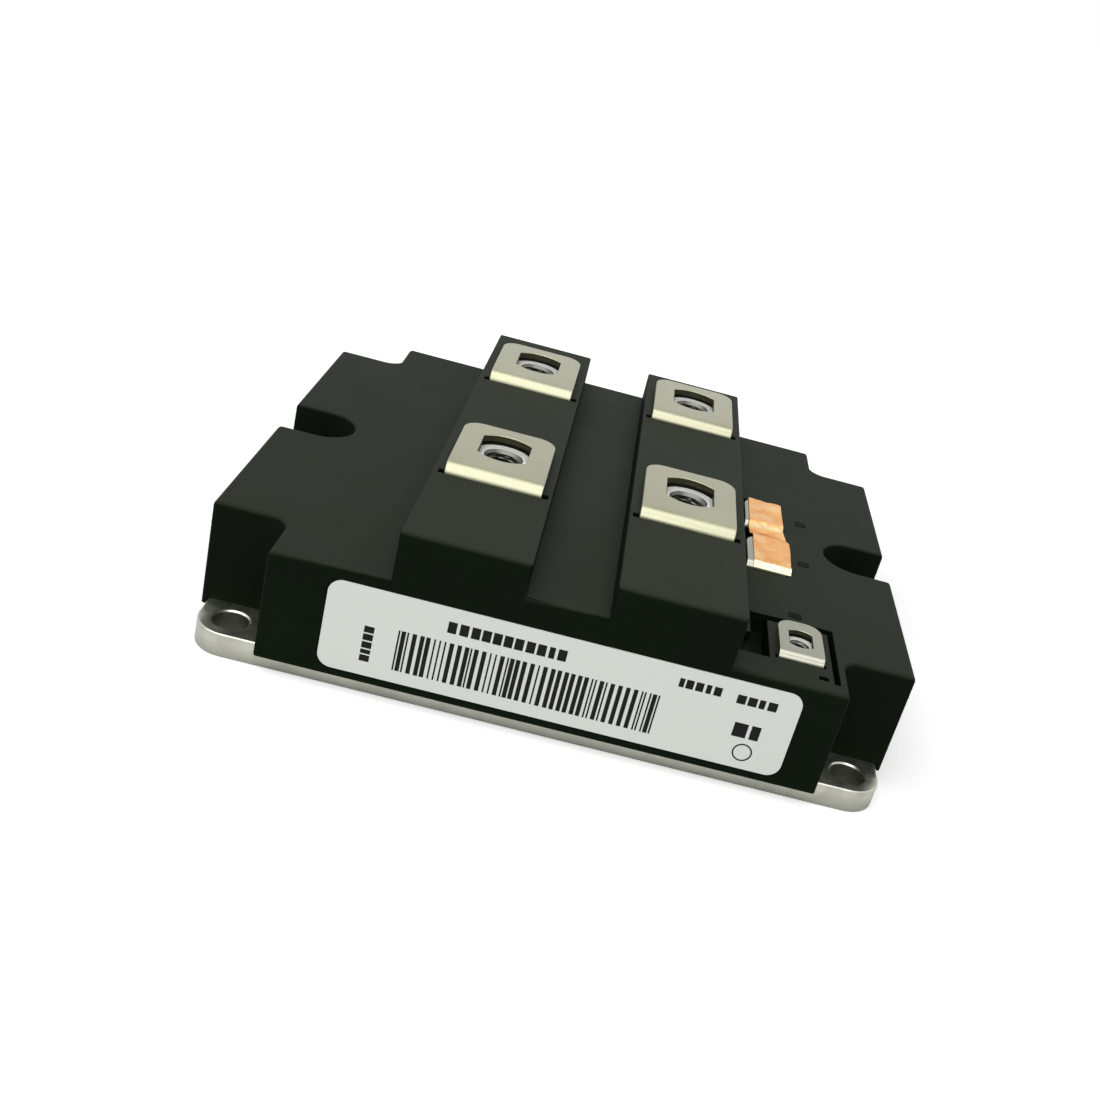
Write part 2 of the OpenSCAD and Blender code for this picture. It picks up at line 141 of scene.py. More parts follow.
class LabelLooks(bpy.types.PropertyGroup):
    """Film label with plain printed bars."""
    film_colour: FloatVectorProperty(
        name="Film colour", description="Label film",
        **COLOUR, default=(0.70, 0.73, 0.68))
    ink_colour: FloatVectorProperty(
        name="Ink colour", description="Printed bars and blocks",
        **COLOUR, default=(0.010, 0.011, 0.010))
    bars: IntProperty(
        name="Bars", description="Number of printed bars", min=5, max=120, default=44)
    seed: IntProperty(
        name="Seed", description="Seed of the bars' random widths", min=0, max=999,
        default=12)


class StripLooks(bpy.types.PropertyGroup):
    """Copper foil folded over the control tabs."""
    colour: FloatVectorProperty(
        name="Copper colour", description="Bare copper of the foil",
        **COLOUR, default=(1.0, 0.51, 0.185))
    thickness: FloatProperty(
        name="Foil thickness", description="Thickness of the foil",
        unit="LENGTH", min=0.03 * MM, max=0.3 * MM, default=0.1 * MM)
    crinkle: FloatProperty(
        name="Crinkle", description="Height of the small dents in the foil",
        unit="LENGTH", min=0, max=0.3 * MM, default=0.11 * MM)


class StageLooks(bpy.types.PropertyGroup):
    """Floor, lamps and camera."""
    floor_colour: FloatVectorProperty(
        name="Floor colour", description="Pale studio floor",
        **COLOUR, default=(0.86, 0.86, 0.86))
    key_power: FloatProperty(
        name="Key power", description="Power of the large lamp overhead", unit="POWER",
        min=0, max=50, default=5.8)
    fill_power: FloatProperty(
        name="Fill power", description="Power of the lamp at the front", unit="POWER",
        min=0, max=50, default=2.25)
    lens: FloatProperty(
        name="Lens", description="Focal length in millimetres on a 36 mm sensor",
        min=10, max=200, default=44.403)


def clamp(value):
    """The value, held between 0 and 1."""
    return min(1.0, max(0.0, value))


# ---------------------------------------------------------------- node helpers
class Graph:
    """Adds nodes to one tree and links or sets their inputs as it goes."""

    def __init__(self, tree):
        self.tree = tree

    def add(self, kind, inputs=None, **settings):
        node = self.tree.nodes.new(kind)
        for key, value in settings.items():
            setattr(node, key, value)
        return self.feed(node, inputs or {})

    def feed(self, node, inputs):
        """Links or sets several inputs of a node and returns it."""
        for key, value in inputs.items():
            self.put(value, node.inputs[key])
        return node

    def put(self, value, socket):
        if isinstance(value, bpy.types.NodeSocket):
            self.tree.links.new(value, socket)
        else:
            socket.default_value = value

    def math(self, operation, a, b=0.0, c=0.0):
        return self.add("ShaderNodeMath", {0: a, 1: b, 2: c}, operation=operation).outputs[0]

    def remap(self, value, low, high, to_low=0.0, to_high=1.0):
        node = self.add("ShaderNodeMapRange",
                        {"Value": value, "From Min": low, "From Max": high,
                         "To Min": to_low, "To Max": to_high})
        return node.outputs["Result"]

    def mix(self, factor, a, b):
        """Mix of two colours; the node's colour sockets are inputs 6 and 7, output 2."""
        node = self.add("ShaderNodeMix", {0: factor, 6: a, 7: b}, data_type="RGBA")
        return node.outputs[2]

    def choose(self, switch, off, on):
        """Mix of two numbers, which are the node's inputs 2 and 3."""
        node = self.add("ShaderNodeMix", {0: switch, 2: off, 3: on}, data_type="FLOAT")
        return node.outputs[0]

    def rise(self, vector):
        """Upward part of a place or a normal."""
        return self.add("ShaderNodeSeparateXYZ", {0: vector}).outputs["Z"]

    def noise(self, place, scale, detail=2.0, rough=0.5):
        node = self.add("ShaderNodeTexNoise",
                        {"Vector": place, "Scale": scale, "Detail": detail,
                         "Roughness": rough})
        return node.outputs["Fac"]


def node_group(kind, name, inputs, outputs):
    """New node group with its sockets; returns its graph, given values and end node."""
    tree = bpy.data.node_groups.new(name, kind)
    for label, socket, value in inputs:
        made = tree.interface.new_socket(label, in_out="INPUT", socket_type=socket)
        if value is not None:
            made.default_value = value
    for label, socket in outputs:
        tree.interface.new_socket(label, in_out="OUTPUT", socket_type=socket)
    graph = Graph(tree)
    return graph, graph.add("NodeGroupInput").outputs, graph.add("NodeGroupOutput")


def shared_group(name):
    """Node group by name, built the first time that it is asked for."""
    makers = {"moulded_skin": moulded_skin_group, "worked_metal": worked_metal_group,
              "bar_row": bar_row_tree}
    return bpy.data.node_groups.get(name) or makers[name]()


def moulded_skin_group():
    """Grain, soft clouds and faint rub marks of moulded plastic."""
    graph, given, end = node_group(
        "ShaderNodeTree", "moulded_skin",
        [("Place", "NodeSocketVector", None), ("Grain Scale", "NodeSocketFloat", 3600.0),
         ("Cloud Scale", "NodeSocketFloat", 45.0), ("Rub", "NodeSocketFloat", 0.5)],
        [("Tone", "NodeSocketFloat"), ("Roughness", "NodeSocketFloat"),
         ("Height", "NodeSocketFloat")])
    grain = graph.noise(given["Place"], given["Grain Scale"], 2.0, 0.6)
    cloud = graph.noise(given["Place"], given["Cloud Scale"], 4.0, 0.6)
    turned = graph.add("ShaderNodeMapping",
                       {"Vector": given["Place"], "Rotation": (0.0, 0.0, 0.5),
                        "Scale": (160.0, 1500.0, 900.0)}).outputs[0]
    lines = graph.noise(turned, 1.0, 3.0, 0.55)
    rub = graph.math("MULTIPLY", graph.remap(lines, 0.62, 0.80), given["Rub"])
    dull = graph.remap(cloud, 0.3, 0.7, 0.50, 0.62)
    graph.feed(end, {
        "Tone": graph.math("ADD", graph.remap(cloud, 0.3, 0.7, 0.25, 0.75), rub),
        "Roughness": graph.math("SUBTRACT", dull, graph.math("MULTIPLY", rub, 0.12)),
        "Height": graph.math("ADD", grain, graph.math("MULTIPLY", lines, 0.2))})
    return graph.tree


def worked_metal_group():
    """Fine drawn lines, dull clouds and small pits of a plated metal."""
    graph, given, end = node_group(
        "ShaderNodeTree", "worked_metal",
        [("Place", "NodeSocketVector", None),
         ("Stretch", "NodeSocketVector", (300.0, 6000.0, 6000.0)),
         ("Cloud Scale", "NodeSocketFloat", 90.0), ("Pit Scale", "NodeSocketFloat", 900.0)],
        [("Tone", "NodeSocketFloat"), ("Roughness", "NodeSocketFloat"),
         ("Height", "NodeSocketFloat")])
    along = graph.add("ShaderNodeVectorMath",
                      {0: given["Place"], 1: given["Stretch"]},
                      operation="MULTIPLY").outputs[0]
    lines = graph.noise(along, 1.0, 3.0, 0.6)
    cloud = graph.noise(given["Place"], given["Cloud Scale"], 4.0, 0.55)
    pits = graph.noise(given["Place"], given["Pit Scale"], 2.0, 0.5)
    dull = graph.remap(cloud, 0.32, 0.68)
    graph.feed(end, {
        "Tone": graph.math("ADD", graph.math("MULTIPLY", dull, 0.7),
                           graph.math("MULTIPLY", lines, 0.3)),
        "Roughness": graph.math("ADD", graph.remap(cloud, 0.3, 0.7, 0.0, 0.09),
                                graph.math("MULTIPLY", lines, 0.08)),
        "Height": graph.math("ADD", graph.math("MULTIPLY", lines, 0.6),
                             graph.math("MULTIPLY", pits, 0.5))})
    return graph.tree


def new_material(name):
    """New material; returns it, its graph, its Principled shader and the place."""
    material = bpy.data.materials.new(name)
    material.use_nodes = True
    tree = material.node_tree
    tree.nodes.clear()
    graph = Graph(tree)
    shader = graph.add("ShaderNodeBsdfPrincipled")
    end = graph.add("ShaderNodeOutputMaterial")
    tree.links.new(shader.outputs[0], end.inputs["Surface"])
    place = graph.add("ShaderNodeTexCoord").outputs["Object"]
    return material, graph, shader, place


def bump(graph, height, distance):
    """Normal of a surface on which a height of 1 stands this many metres out."""
    return graph.add("ShaderNodeBump", {"Height": height, "Distance": distance}).outputs[0]


def shade(colour, factor):
    """Colour made darker or lighter, with alpha."""
    return tuple(min(1.0, c * factor) for c in colour) + (1.0,)


GRAIN_HEIGHT = 0.02 * MM   # of the moulded skin
SKIN_SPECULAR = 0.045      # of the moulded skin
FILM_ROUGHNESS = 0.22      # of the clear film on plated tabs


def plastic(name, colour, dust_and_sheen_colour, grain, rub):
    """Satin moulded plastic, which fades to a lighter colour where it faces up.

    That colour is partly dust and partly painted sheen; it begins at the shoulder and is
    strongest on the ridges, where the painted sheen is brightest.
    """
    material, graph, shader, place = new_material(name)
    skin = graph.add("ShaderNodeGroup",
                     {"Place": place, "Grain Scale": 1.0 / grain, "Rub": rub},
                     node_tree=shared_group("moulded_skin")).outputs
    facing = graph.add("ShaderNodeTexCoord").outputs["Normal"]
    level = graph.rise(place)
    # Painted sheen with some dust: faces that look up above the shoulder lighten, the ridge
    # tops most
    above_shoulder = graph.remap(level, SHOULDER_Z - 1.5 * MM, SHOULDER_Z - 0.3 * MM)
    ridge_sheen_gain = graph.remap(level, SHOULDER_Z, RIDGE_Z, 0.82, 1.0)
    dust_and_sheen_share = graph.math("MULTIPLY", graph.remap(graph.rise(facing), 0.35, 0.95),
                        above_shoulder)
    dust_and_sheen_share = graph.math("MULTIPLY", dust_and_sheen_share, ridge_sheen_gain)
    deep = graph.mix(dust_and_sheen_share, shade(colour, 0.75), shade(dust_and_sheen_colour, 0.86))
    light = graph.mix(dust_and_sheen_share, shade(colour, 1.3), shade(dust_and_sheen_colour, 1.14))
    graph.feed(shader, {
        "Base Color": graph.mix(skin["Tone"], deep, light),
        "Roughness": skin["Roughness"],
        "Specular IOR Level": SKIN_SPECULAR,
        "Normal": bump(graph, skin["Height"], GRAIN_HEIGHT)})
    return material


def metal(name, colour, rough, stretch, cloud=90.0, relief=0.004, dark=0.82, foot=0.0,
          metallic=1.0, coat=0.0):
    """Plated metal with drawn lines and dull clouds.

    relief is the height of the lines in millimetres, foot the height up to which
    painted shade darkens it towards the bottom, and coat the share of a thin clear film over
    it.
    """
    material, graph, shader, place = new_material(name)
    work = graph.add("ShaderNodeGroup",
                     {"Place": place, "Stretch": stretch, "Cloud Scale": cloud},
                     node_tree=shared_group("worked_metal")).outputs
    skin = graph.mix(work["Tone"], shade(colour, dark), shade(colour, 1.06))
    if foot:
        # Painted shade: the colour darkens towards the bottom, up to the height foot
        foot_shade = graph.remap(graph.rise(place), 0.0, foot)
        skin = graph.mix(foot_shade, shade(colour, 0.5), skin)
    graph.feed(shader, {
        "Base Color": skin,
        "Roughness": graph.math("ADD", work["Roughness"], rough),
        "Metallic": metallic,
        "Coat Weight": coat,
        "Coat Roughness": FILM_ROUGHNESS,
        "Normal": bump(graph, work["Height"], relief * MM)})
    return material


def cut_and_shade_metal(name, colour):
    """Bare punched metal, dull and drawn along its height, dark enough to paint the shade
    inside holes.
    """
    return metal(name, colour, 0.42, (3000.0, 3000.0, 300.0), cloud=700.0, relief=0.01)


def speckled(name, colour, scale, spread, rough, relief=0.0, specular=0.5):
    """Plain solid with a speckle of its own colour."""
    material, graph, shader, place = new_material(name)
    spots = graph.noise(place, scale, 3.0, 0.6)
    tone = graph.remap(spots, 0.3, 0.7)
    graph.feed(shader, {
        "Base Color": graph.mix(tone, shade(colour, 1 - spread), shade(colour, 1 + spread)),
        "Roughness": graph.remap(spots, 0.3, 0.7, rough - 0.05, rough + 0.05),
        "Specular IOR Level": specular})
    if relief:
        graph.feed(shader, {"Normal": bump(graph, spots, relief * MM)})
    return material


# Pale copper: painted highlight on the fold and the rear bend, and rubbed patches
HIGHLIGHT_AND_RUBBED_COPPER = (1.0, 0.92, 0.56)
# Dark copper, painted as shade in the crease between the tabs
CREASE_SHADE_COPPER = (0.58, 0.22, 0.07)
DENT_HEIGHT = 0.26 * MM    # of the small hand dents in the foil's surface


def copper_foil(name, colour):
    """Bare copper with warm clouds, small dents, and the painted highlights, painted crease
    shade and rubbed patches that its mesh carries.
    """
    material, graph, shader, place = new_material(name)
    work = graph.add("ShaderNodeGroup",
                     {"Place": place, "Stretch": (2600.0, 500.0, 900.0),
                      "Cloud Scale": 260.0},
                     node_tree=shared_group("worked_metal")).outputs
    dents = graph.noise(place, 420.0, 2.0, 0.5)
    redder = (colour[0] * 0.96, colour[1] * 0.76, colour[2] * 0.62)
    deep = graph.mix(graph.remap(dents, 0.38, 0.62), shade(redder, 0.90),
                     shade(colour, 1.0))
    skin = graph.mix(work["Tone"], deep, shade(colour, 1.08))
    wear = graph.add("ShaderNodeAttribute", attribute_name="wear").outputs["Fac"]
    # Painted highlight and rubbed patches where the mesh's value is above 0, painted crease
    # shade below 0
    skin = graph.mix(graph.remap(wear, 0.0, 1.0), skin, shade(HIGHLIGHT_AND_RUBBED_COPPER, 1.0))
    skin = graph.mix(graph.remap(wear, 0.0, -1.0), skin, shade(CREASE_SHADE_COPPER, 1.0))
    height = graph.math("ADD", dents, graph.math("MULTIPLY", work["Height"], 0.05))
    graph.feed(shader, {
        "Base Color": skin,
        "Roughness": graph.math("ADD", work["Roughness"], 0.30),
        "Metallic": 0.75,
        "Normal": bump(graph, height, DENT_HEIGHT)})
    return material


def chip_surface(name, colour):
    """Metallised silicon with a fine grid of cells."""
    material, graph, shader, place = new_material(name)
    cells = graph.add("ShaderNodeTexBrick",
                      {"Vector": place, "Scale": 700.0, "Color1": shade(colour, 1.0),
                       "Color2": shade(colour, 1.1), "Mortar": shade(colour, 0.6),
                       "Mortar Size": 0.03}, offset=0.0)
    rough = graph.noise(place, 1500.0, 2.0)
    graph.feed(shader, {
        "Base Color": cells.outputs["Color"],
        "Roughness": graph.remap(rough, 0.3, 0.7, 0.22, 0.34),
        "Metallic": 0.6})
    return material


def clear_gel(name, colour):
    """Soft clear gel with a faint haze."""
    material, graph, shader, place = new_material(name)
    haze = graph.noise(place, 60.0, 3.0)
    graph.feed(shader, {
        "Base Color": graph.mix(haze, shade(colour, 0.96), shade(colour, 1.0)),
        "Roughness": graph.remap(haze, 0.3, 0.7, 0.05, 0.12),
        "Transmission Weight": 0.85,
        "IOR": 1.41})
    return material


# ---------------------------------------------------------------- mesh helpers
def new_object(name, data):
    """Object of a mesh, lamp or camera, linked to the scene."""
    made = bpy.data.objects.new(name, data)
    bpy.context.scene.collection.objects.link(made)
    return made


def write_mesh(bm, mesh):
    """Writes a bmesh to a mesh, frees it and returns the mesh."""
    bm.to_mesh(mesh)
    bm.free()
    return mesh


def close_up(bm):
    """Merges the doubles of a bmesh and turns its faces outwards."""
    bmesh.ops.remove_doubles(bm, verts=bm.verts, dist=SAME_POINT)
    bmesh.ops.recalc_face_normals(bm, faces=bm.faces)


def dress(piece, material):
    """Gives a piece or a kept CAD node its one material."""
    piece.data.materials.clear()
    piece.data.materials.append(material)


def settle(piece, material, slot, *nodes):
    """Gives a finished piece its material and body, and hides the CAD nodes that it stands
    for. The slot is not used.
    """
    dress(piece, material)
    if nodes:
        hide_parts(*nodes)
    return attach(piece, "root")


def bevelled(piece, width, segments=3):
    """Rounds the edges that carry a bevel weight."""
    rounding = piece.modifiers.new("rounded edges", "BEVEL")
    rounding.limit_method = "WEIGHT"
    rounding.width = width
    rounding.segments = segments
    rounding.use_clamp_overlap = False
    rounding.harden_normals = True
    rounding.miter_outer = "MITER_ARC"
    return piece


def solid_copy(node, name, weight, cuts=()):
    """Cleaned copy of a CAD node; weight(edge) from 0 to 1 is each edge's rounding.

    The triangles of a flat side are joined to one face; the cuts are places along X
    where that face is split, so that no face is left with an opening inside it.
    """
    mesh = frame["nodes"][node].data.copy()
    mesh.name = name
    bm = bmesh.new()
    bm.from_mesh(mesh)
    bmesh.ops.remove_doubles(bm, verts=bm.verts, dist=SAME_POINT)
    for x in cuts:
        bmesh.ops.bisect_plane(bm, geom=[*bm.verts, *bm.edges, *bm.faces],
                               dist=SAME_POINT, plane_co=(x, 0, 0), plane_no=(1, 0, 0))
    joined = [edge for edge in bm.edges
              if len(edge.link_faces) == 2 and edge.calc_face_angle(1.0) < FLAT
              and not any(all(abs(v.co.x - x) < SAME_POINT for v in edge.verts)
                          for x in cuts)]
    bmesh.ops.dissolve_edges(bm, edges=joined, use_verts=True)
    layer = bm.edges.layers.float.new("bevel_weight_edge")
    for edge in bm.edges:
        if len(edge.link_faces) != 2:
            continue
        angle = edge.calc_face_angle(0.0)
        edge.smooth = angle < EDGE
        if angle > EDGE and edge.is_convex:
            edge[layer] = weight(edge)
    for face in bm.faces:
        face.smooth = True
    return new_object(name, write_mesh(bm, mesh))


def widen_bend(piece, thick, radius, wider):
    """Opens a tab's quarter bend from one outer radius to a wider one.

    The bend starts at the lowest Y of the visible leg and ends at the tab's top face.
    """
    on_arc_within = 20 * SAME_POINT
    top = max(v.co.z for v in piece.data.vertices)
    leg = min(v.co.y for v in piece.data.vertices if v.co.z > top - radius - SAME_POINT)
    for vertex in piece.data.vertices:
        y, z = vertex.co.y - leg - radius, vertex.co.z - top + radius
        far = math.hypot(y, z)
        on_arc = min(abs(far - radius), abs(far - radius + thick)) < on_arc_within
        if y < SAME_POINT and z > -SAME_POINT and on_arc:
            grown = (far + wider - radius) / far
            vertex.co.y = leg + wider + y * grown
            vertex.co.z = top - wider + z * grown


def dress_bores(piece, material, axes, radius, low, steepest=0.1):
    """Second material on the walls within a radius of some axes and above a height.

    A wall is a face whose normal rises or falls by less than the share steepest.
    """
    piece.data.materials.append(material)
    for face in piece.data.polygons:
        x, y, z = face.center
        if abs(face.normal.z) < steepest and z > low and any(
                math.hypot(x - ax, y - ay) < radius for ax, ay in axes):
            face.material_index = 1


def grid_mesh(name, columns, rows, point, closed=False):
    """Mesh of quads over point(i, j); closed joins the last column to the first."""
    bm = bmesh.new()
    verts = [[bm.verts.new(point(i, j)) for j in range(rows)] for i in range(columns)]
    last = columns if closed else columns - 1
    for i in range(last):
        near, far = verts[i], verts[(i + 1) % columns]
        for j in range(rows - 1):
            bm.faces.new((near[j], far[j], far[j + 1], near[j + 1])).smooth = True
    return write_mesh(bm, bpy.data.meshes.new(name))


def nodes_result(name, tree, values, source=None):
    """Runs a geometry tree once and returns what it makes as a plain mesh."""
    carrier = new_object(name, source or bpy.data.meshes.new(name))
    modifier = carrier.modifiers.new("tree", "NODES")
    modifier.node_group = tree
    for item in tree.interface.items_tree:
        if item.in_out == "INPUT" and item.name in values:
            modifier[item.identifier] = values[item.name]
    bpy.context.view_layer.update()
    graph = bpy.context.evaluated_depsgraph_get()
    mesh = bpy.data.meshes.new_from_object(carrier.evaluated_get(graph))
    carrier.modifiers.remove(modifier)
    bpy.data.objects.remove(carrier)
    mesh.name = name
    return mesh


# ---------------------------------------------------------------- base plate
HOLE_MARGIN = 5 * MM       # edges this near to a hole's axis are not rounded
SINK_REACH = 4.4 * MM      # the solid's countersinks end within this radius
SINK_FLOOR = 0.8 * MM      # and within this depth
SINK_RADIUS = 3.8 * MM     # radius to which their upper rings are drawn in
SINK_DEPTH = 0.3 * MM      # depth to which their lower rings are lifted
BORE_REACH = 3.6 * MM      # the wall of a mounting hole lies within this radius


def plate_bores():
    """Axes of the mounting holes, from the spacing of the corner bolts."""
    corners = next(mount["dims"] for mount in frame["record"]["mounts"]
                   if mount["name"] == "corner_bolts")
    x, y = (corners[key] / 2 * MM for key in ("spacing_x_mm", "spacing_y_mm"))
    return [(side * x, row * y) for side in (-1, 1) for row in (-1, 0, 1)]


def rim_weight(edge):
    """Outer edges of the base plate are rounded, those of its holes are not."""
    middle = (edge.verts[0].co + edge.verts[1].co) / 2
    near_hole = any(math.hypot(middle.x - x, middle.y - y) < HOLE_MARGIN
                    for x, y in plate_bores())
    return 0.0 if near_hole else 1.0


def narrow_countersinks(plate, axes):
    """Draws the countersink of each mounting hole in to a finer one."""
    for vertex in plate.data.vertices:
        depth = PLATE_TOP - vertex.co.z
        for x, y in axes:
            far = math.hypot(vertex.co.x - x, vertex.co.y - y)
            if far > SINK_REACH or depth > SINK_FLOOR:
                continue
            if depth > SAME_POINT:
                vertex.co.z = PLATE_TOP - SINK_DEPTH
            else:
                vertex.co.x = x + (vertex.co.x - x) * SINK_RADIUS / far
                vertex.co.y = y + (vertex.co.y - y) * SINK_RADIUS / far


def build_base(looks):
    plate = solid_copy("base_plate", "nickel_base_plate", rim_weight)
    narrow_countersinks(plate, plate_bores())
    bevelled(plate, 0.3 * MM)
    # Painted shade darkens the plate's sides towards the floor, up to foot
    nickel = metal("base_nickel", looks.metal.plate_colour, 0.23, (900.0, 1400.0, 5000.0),
                   cloud=260.0, relief=0.012, dark=0.74, foot=3.4 * MM)
    settle(plate, nickel, "nickel_plate", "base_plate")
    # Painted shade: the mounting holes' walls are dark, as their far walls in shadow would
    # look
    bore = cut_and_shade_metal("base_cut_edge", (0.15, 0.16, 0.115))
    dress_bores(plate, bore, plate_bores(), BORE_REACH, 0.0)
    dress(frame["nodes"]["plate_seal"],
          speckled("seal_silicone", (0.70, 0.70, 0.67), 900.0, 0.05, 0.5, 0.02))


# ---------------------------------------------------------------- housing
# Places along X that between them run through every opening of the housing
OPENINGS_X = tuple(x * MM for x in (-20.0, 20.0, 40.4, 45.95, 50.25))
# Its outline is the same left and right, so places are distances from the middle
SIDE_X = FRAME_HI.x - 0.1 * MM            # the side walls lie past this
END_Y = FRAME_HI.y - 0.1 * MM             # the front and rear walls lie past this
NOTCH_X, NOTCH_Y = 54.8 * MM, 50.6 * MM   # the corner notches lie past these
SLOT_Y = 7.2 * MM                         # the side slots lie within this
RIDGE_SIDES = (7.9 * MM, 32.5 * MM)       # side walls of a ridge
VALLEY_Z = 29.4 * MM                      # top of the cover between the ridges
NEAR = 0.05 * MM                          # a place is met within this


def housing_weight(edge):
    """Rounding of one edge of the frame or cover, as a share of the outer rounding."""
    a, b = (v.co for v in edge.verts)
    middle = (a + b) / 2
    across, along = abs(middle.x), abs(middle.y)
    in_corner = across > NOTCH_X and along > NOTCH_Y
    if abs(a.z - b.z) > 0.5 * MM:
        on_ridge_end = along > END_Y and middle.z > SHOULDER_Z - 0.1 * MM
        return 0.6 if in_corner or across > SIDE_X or on_ridge_end else 0.0
    on_outline = in_corner or across > SIDE_X or along > END_Y
    in_side_slot = across > NOTCH_X and along < SLOT_Y
    on_ridge_side = any(abs(across - x) < NEAR for x in RIDGE_SIDES)
    heights = {
        FRAME_LO.z: 0.35 if on_outline or in_side_slot else 0.0,
        SEAM_Z: 0.10 if on_outline or in_side_slot else 0.0,
        SHOULDER_Z: 0.9 if on_outline else 0.6 if in_side_slot else 0.10,
        VALLEY_Z: 0.9 if on_outline else 0.0,
        RIDGE_Z: 0.9 if on_outline else 0.42 if on_ridge_side else 0.14,
    }
    return next((w for z, w in heights.items() if abs(middle.z - z) < NEAR), 0.0)


def build_housing(looks):
    housing = looks.housing
    for node, name, slot, rub in (("housing_frame", "moulded_frame", "frame_plastic", 0.25),
                                  ("cover", "moulded_cover", "cover_plastic", 0.4)):
        shell = solid_copy(node, name, housing_weight, OPENINGS_X)
        bevelled(shell, housing.round_outer)
        skin = plastic(name + "_plastic", housing.colour, housing.dust_and_sheen_colour,
                       housing.grain, rub)
        settle(shell, skin, slot, node)
    skin = plastic("mark_plastic", housing.colour, housing.colour, housing.grain, 0.0)
    settle(terminal_marks(), skin, "cover_plastic")


# Marks beside the control terminals in millimetres: middle x and y, strokes
MARKS = ((49.9, 12.7, 2), (49.3, -9.9, 2), (45.9, -36.6, 3))
MARKS_SEED = 20


def terminal_marks():
    """Plain raised strokes beside each control terminal."""
    tree = shared_group("bar_row")
    upright = Matrix.Rotation(math.radians(90), 4, "X")
    bm = bmesh.new()
    for k, (x, y, strokes) in enumerate(MARKS):
        mesh = nodes_result("strokes", tree, {
            "Count": strokes, "Length": 2.5 * MM, "Height": 2.2 * MM,
            "Thickness": 0.3 * MM, "Thin": 1.0, "Thick": 1.5, "Gap": 0.16,
            "Seed": MARKS_SEED + k})
        mesh.transform(Matrix.Translation((x * MM, y * MM, SHOULDER_Z)) @ upright)
        bm.from_mesh(mesh)
    return new_object("terminal_marks",
                      write_mesh(bm, bpy.data.meshes.new("terminal_marks")))


# ---------------------------------------------------------------- label
def bar_row_tree():
    """Geometry tree: a row of upright bars with random widths and gaps.

    The bars run along X, are centred on the origin and fill the given length.
    """
    number, whole = "NodeSocketFloat", "NodeSocketInt"
    graph, given, end = node_group(
        "GeometryNodeTree", "bar_row",
        [("Count", whole, 40), ("Length", number, 0.05), ("Height", number, 0.01),
         ("Thickness", number, 0.0001), ("Thin", number, 1.0), ("Thick", number, 2.6),
         ("Gap", number, 1.0), ("Thick Share", number, 0.4), ("Seed", whole, 0),
         ("Material", "NodeSocketMaterial", None)],
        [("Geometry", "NodeSocketGeometry")])
    points = graph.add("GeometryNodePoints", {"Count": given["Count"]}).outputs[0]

    def thin_or_thick(seed):
        pick = graph.add("FunctionNodeRandomValue",
                         {"Probability": given["Thick Share"], "Seed": seed},
                         data_type="BOOLEAN").outputs[3]
        return graph.add("GeometryNodeSwitch",
                         {"Switch": pick, "False": given["Thin"], "True": given["Thick"]},
                         input_type="FLOAT").outputs[0]

    width = thin_or_thick(given["Seed"])
    gap = graph.math("MULTIPLY", given["Gap"],
                     thin_or_thick(graph.math("ADD", given["Seed"], 1000.0)))
    run = graph.add("GeometryNodeAccumulateField", {0: graph.math("ADD", width, gap)})
    row = graph.math("SUBTRACT", run.outputs["Total"], gap)
    unit = graph.math("DIVIDE", given["Length"], row)
    middle = graph.math("ADD", run.outputs["Trailing"], graph.math("MULTIPLY", width, 0.5))
    shift = graph.math("SUBTRACT", graph.math("MULTIPLY", middle, unit),
                       graph.math("MULTIPLY", given["Length"], 0.5))
    place = graph.add("ShaderNodeCombineXYZ", {"X": shift}).outputs[0]
    size = graph.add("ShaderNodeCombineXYZ",
                     {"X": graph.math("MULTIPLY", width, unit), "Y": given["Thickness"],
                      "Z": given["Height"]}).outputs[0]
    set_points = graph.add("GeometryNodeSetPosition",
                           {"Geometry": points, "Position": place}).outputs[0]
    block = graph.add("GeometryNodeMeshCube", {"Size": (1.0, 1.0, 1.0)}).outputs[0]
    bars = graph.add("GeometryNodeInstanceOnPoints",
                     {"Points": set_points, "Instance": block, "Scale": size}).outputs[0]
    real = graph.add("GeometryNodeRealizeInstances", {"Geometry": bars}).outputs[0]
    dressed = graph.add("GeometryNodeSetMaterial",
                        {"Geometry": real, "Material": given["Material"]}).outputs[0]
    graph.feed(end, {"Geometry": dressed})
    return graph.tree


FILM_CORNER = 2.8 * MM     # radius of the film's corners
FILM_ROUNDING = 0.06 * MM  # of the film's front edge
INK_PROUD = 0.025 * MM     # the printing stands this far out of the film
INK_SUNK = 0.015 * MM      # and reaches this far into it
INK_ROOM = 0.04 * MM       # kept in front of the film inside the label's box
# Printed rows in millimetres: middle x and z, length and height; then their number of
# bars, width of a thick bar, share of thick bars, gap, and whether the row is upright
PRINT_ROWS = (
    (-9.2, 19.7, 22.6, 2.4, 11, 1.5, 0.7, 0.35, False),
    (-34.6, 11.9, 7.6, 1.9, 5, 1.5, 0.6, 0.35, True),
    (27.7, 20.3, 8.2, 1.9, 5, 1.5, 0.6, 0.35, False),
    (38.8, 19.9, 7.8, 1.9, 4, 1.5, 0.6, 0.35, False),
    (38.6, 13.4, 5.2, 3.1, 2, 1.5, 0.5, 0.25, False),
)
BAR_FIELD = (-4.1, 12.1, 50.2, 8.7)   # middle x and z, length and height
BAR_STYLE = (2.6, 0.55, 0.8, False)   # its last four values, as in the rows above
RING = (39.1, 8.7, 1.95, 0.3)         # middle x and z, radius and line


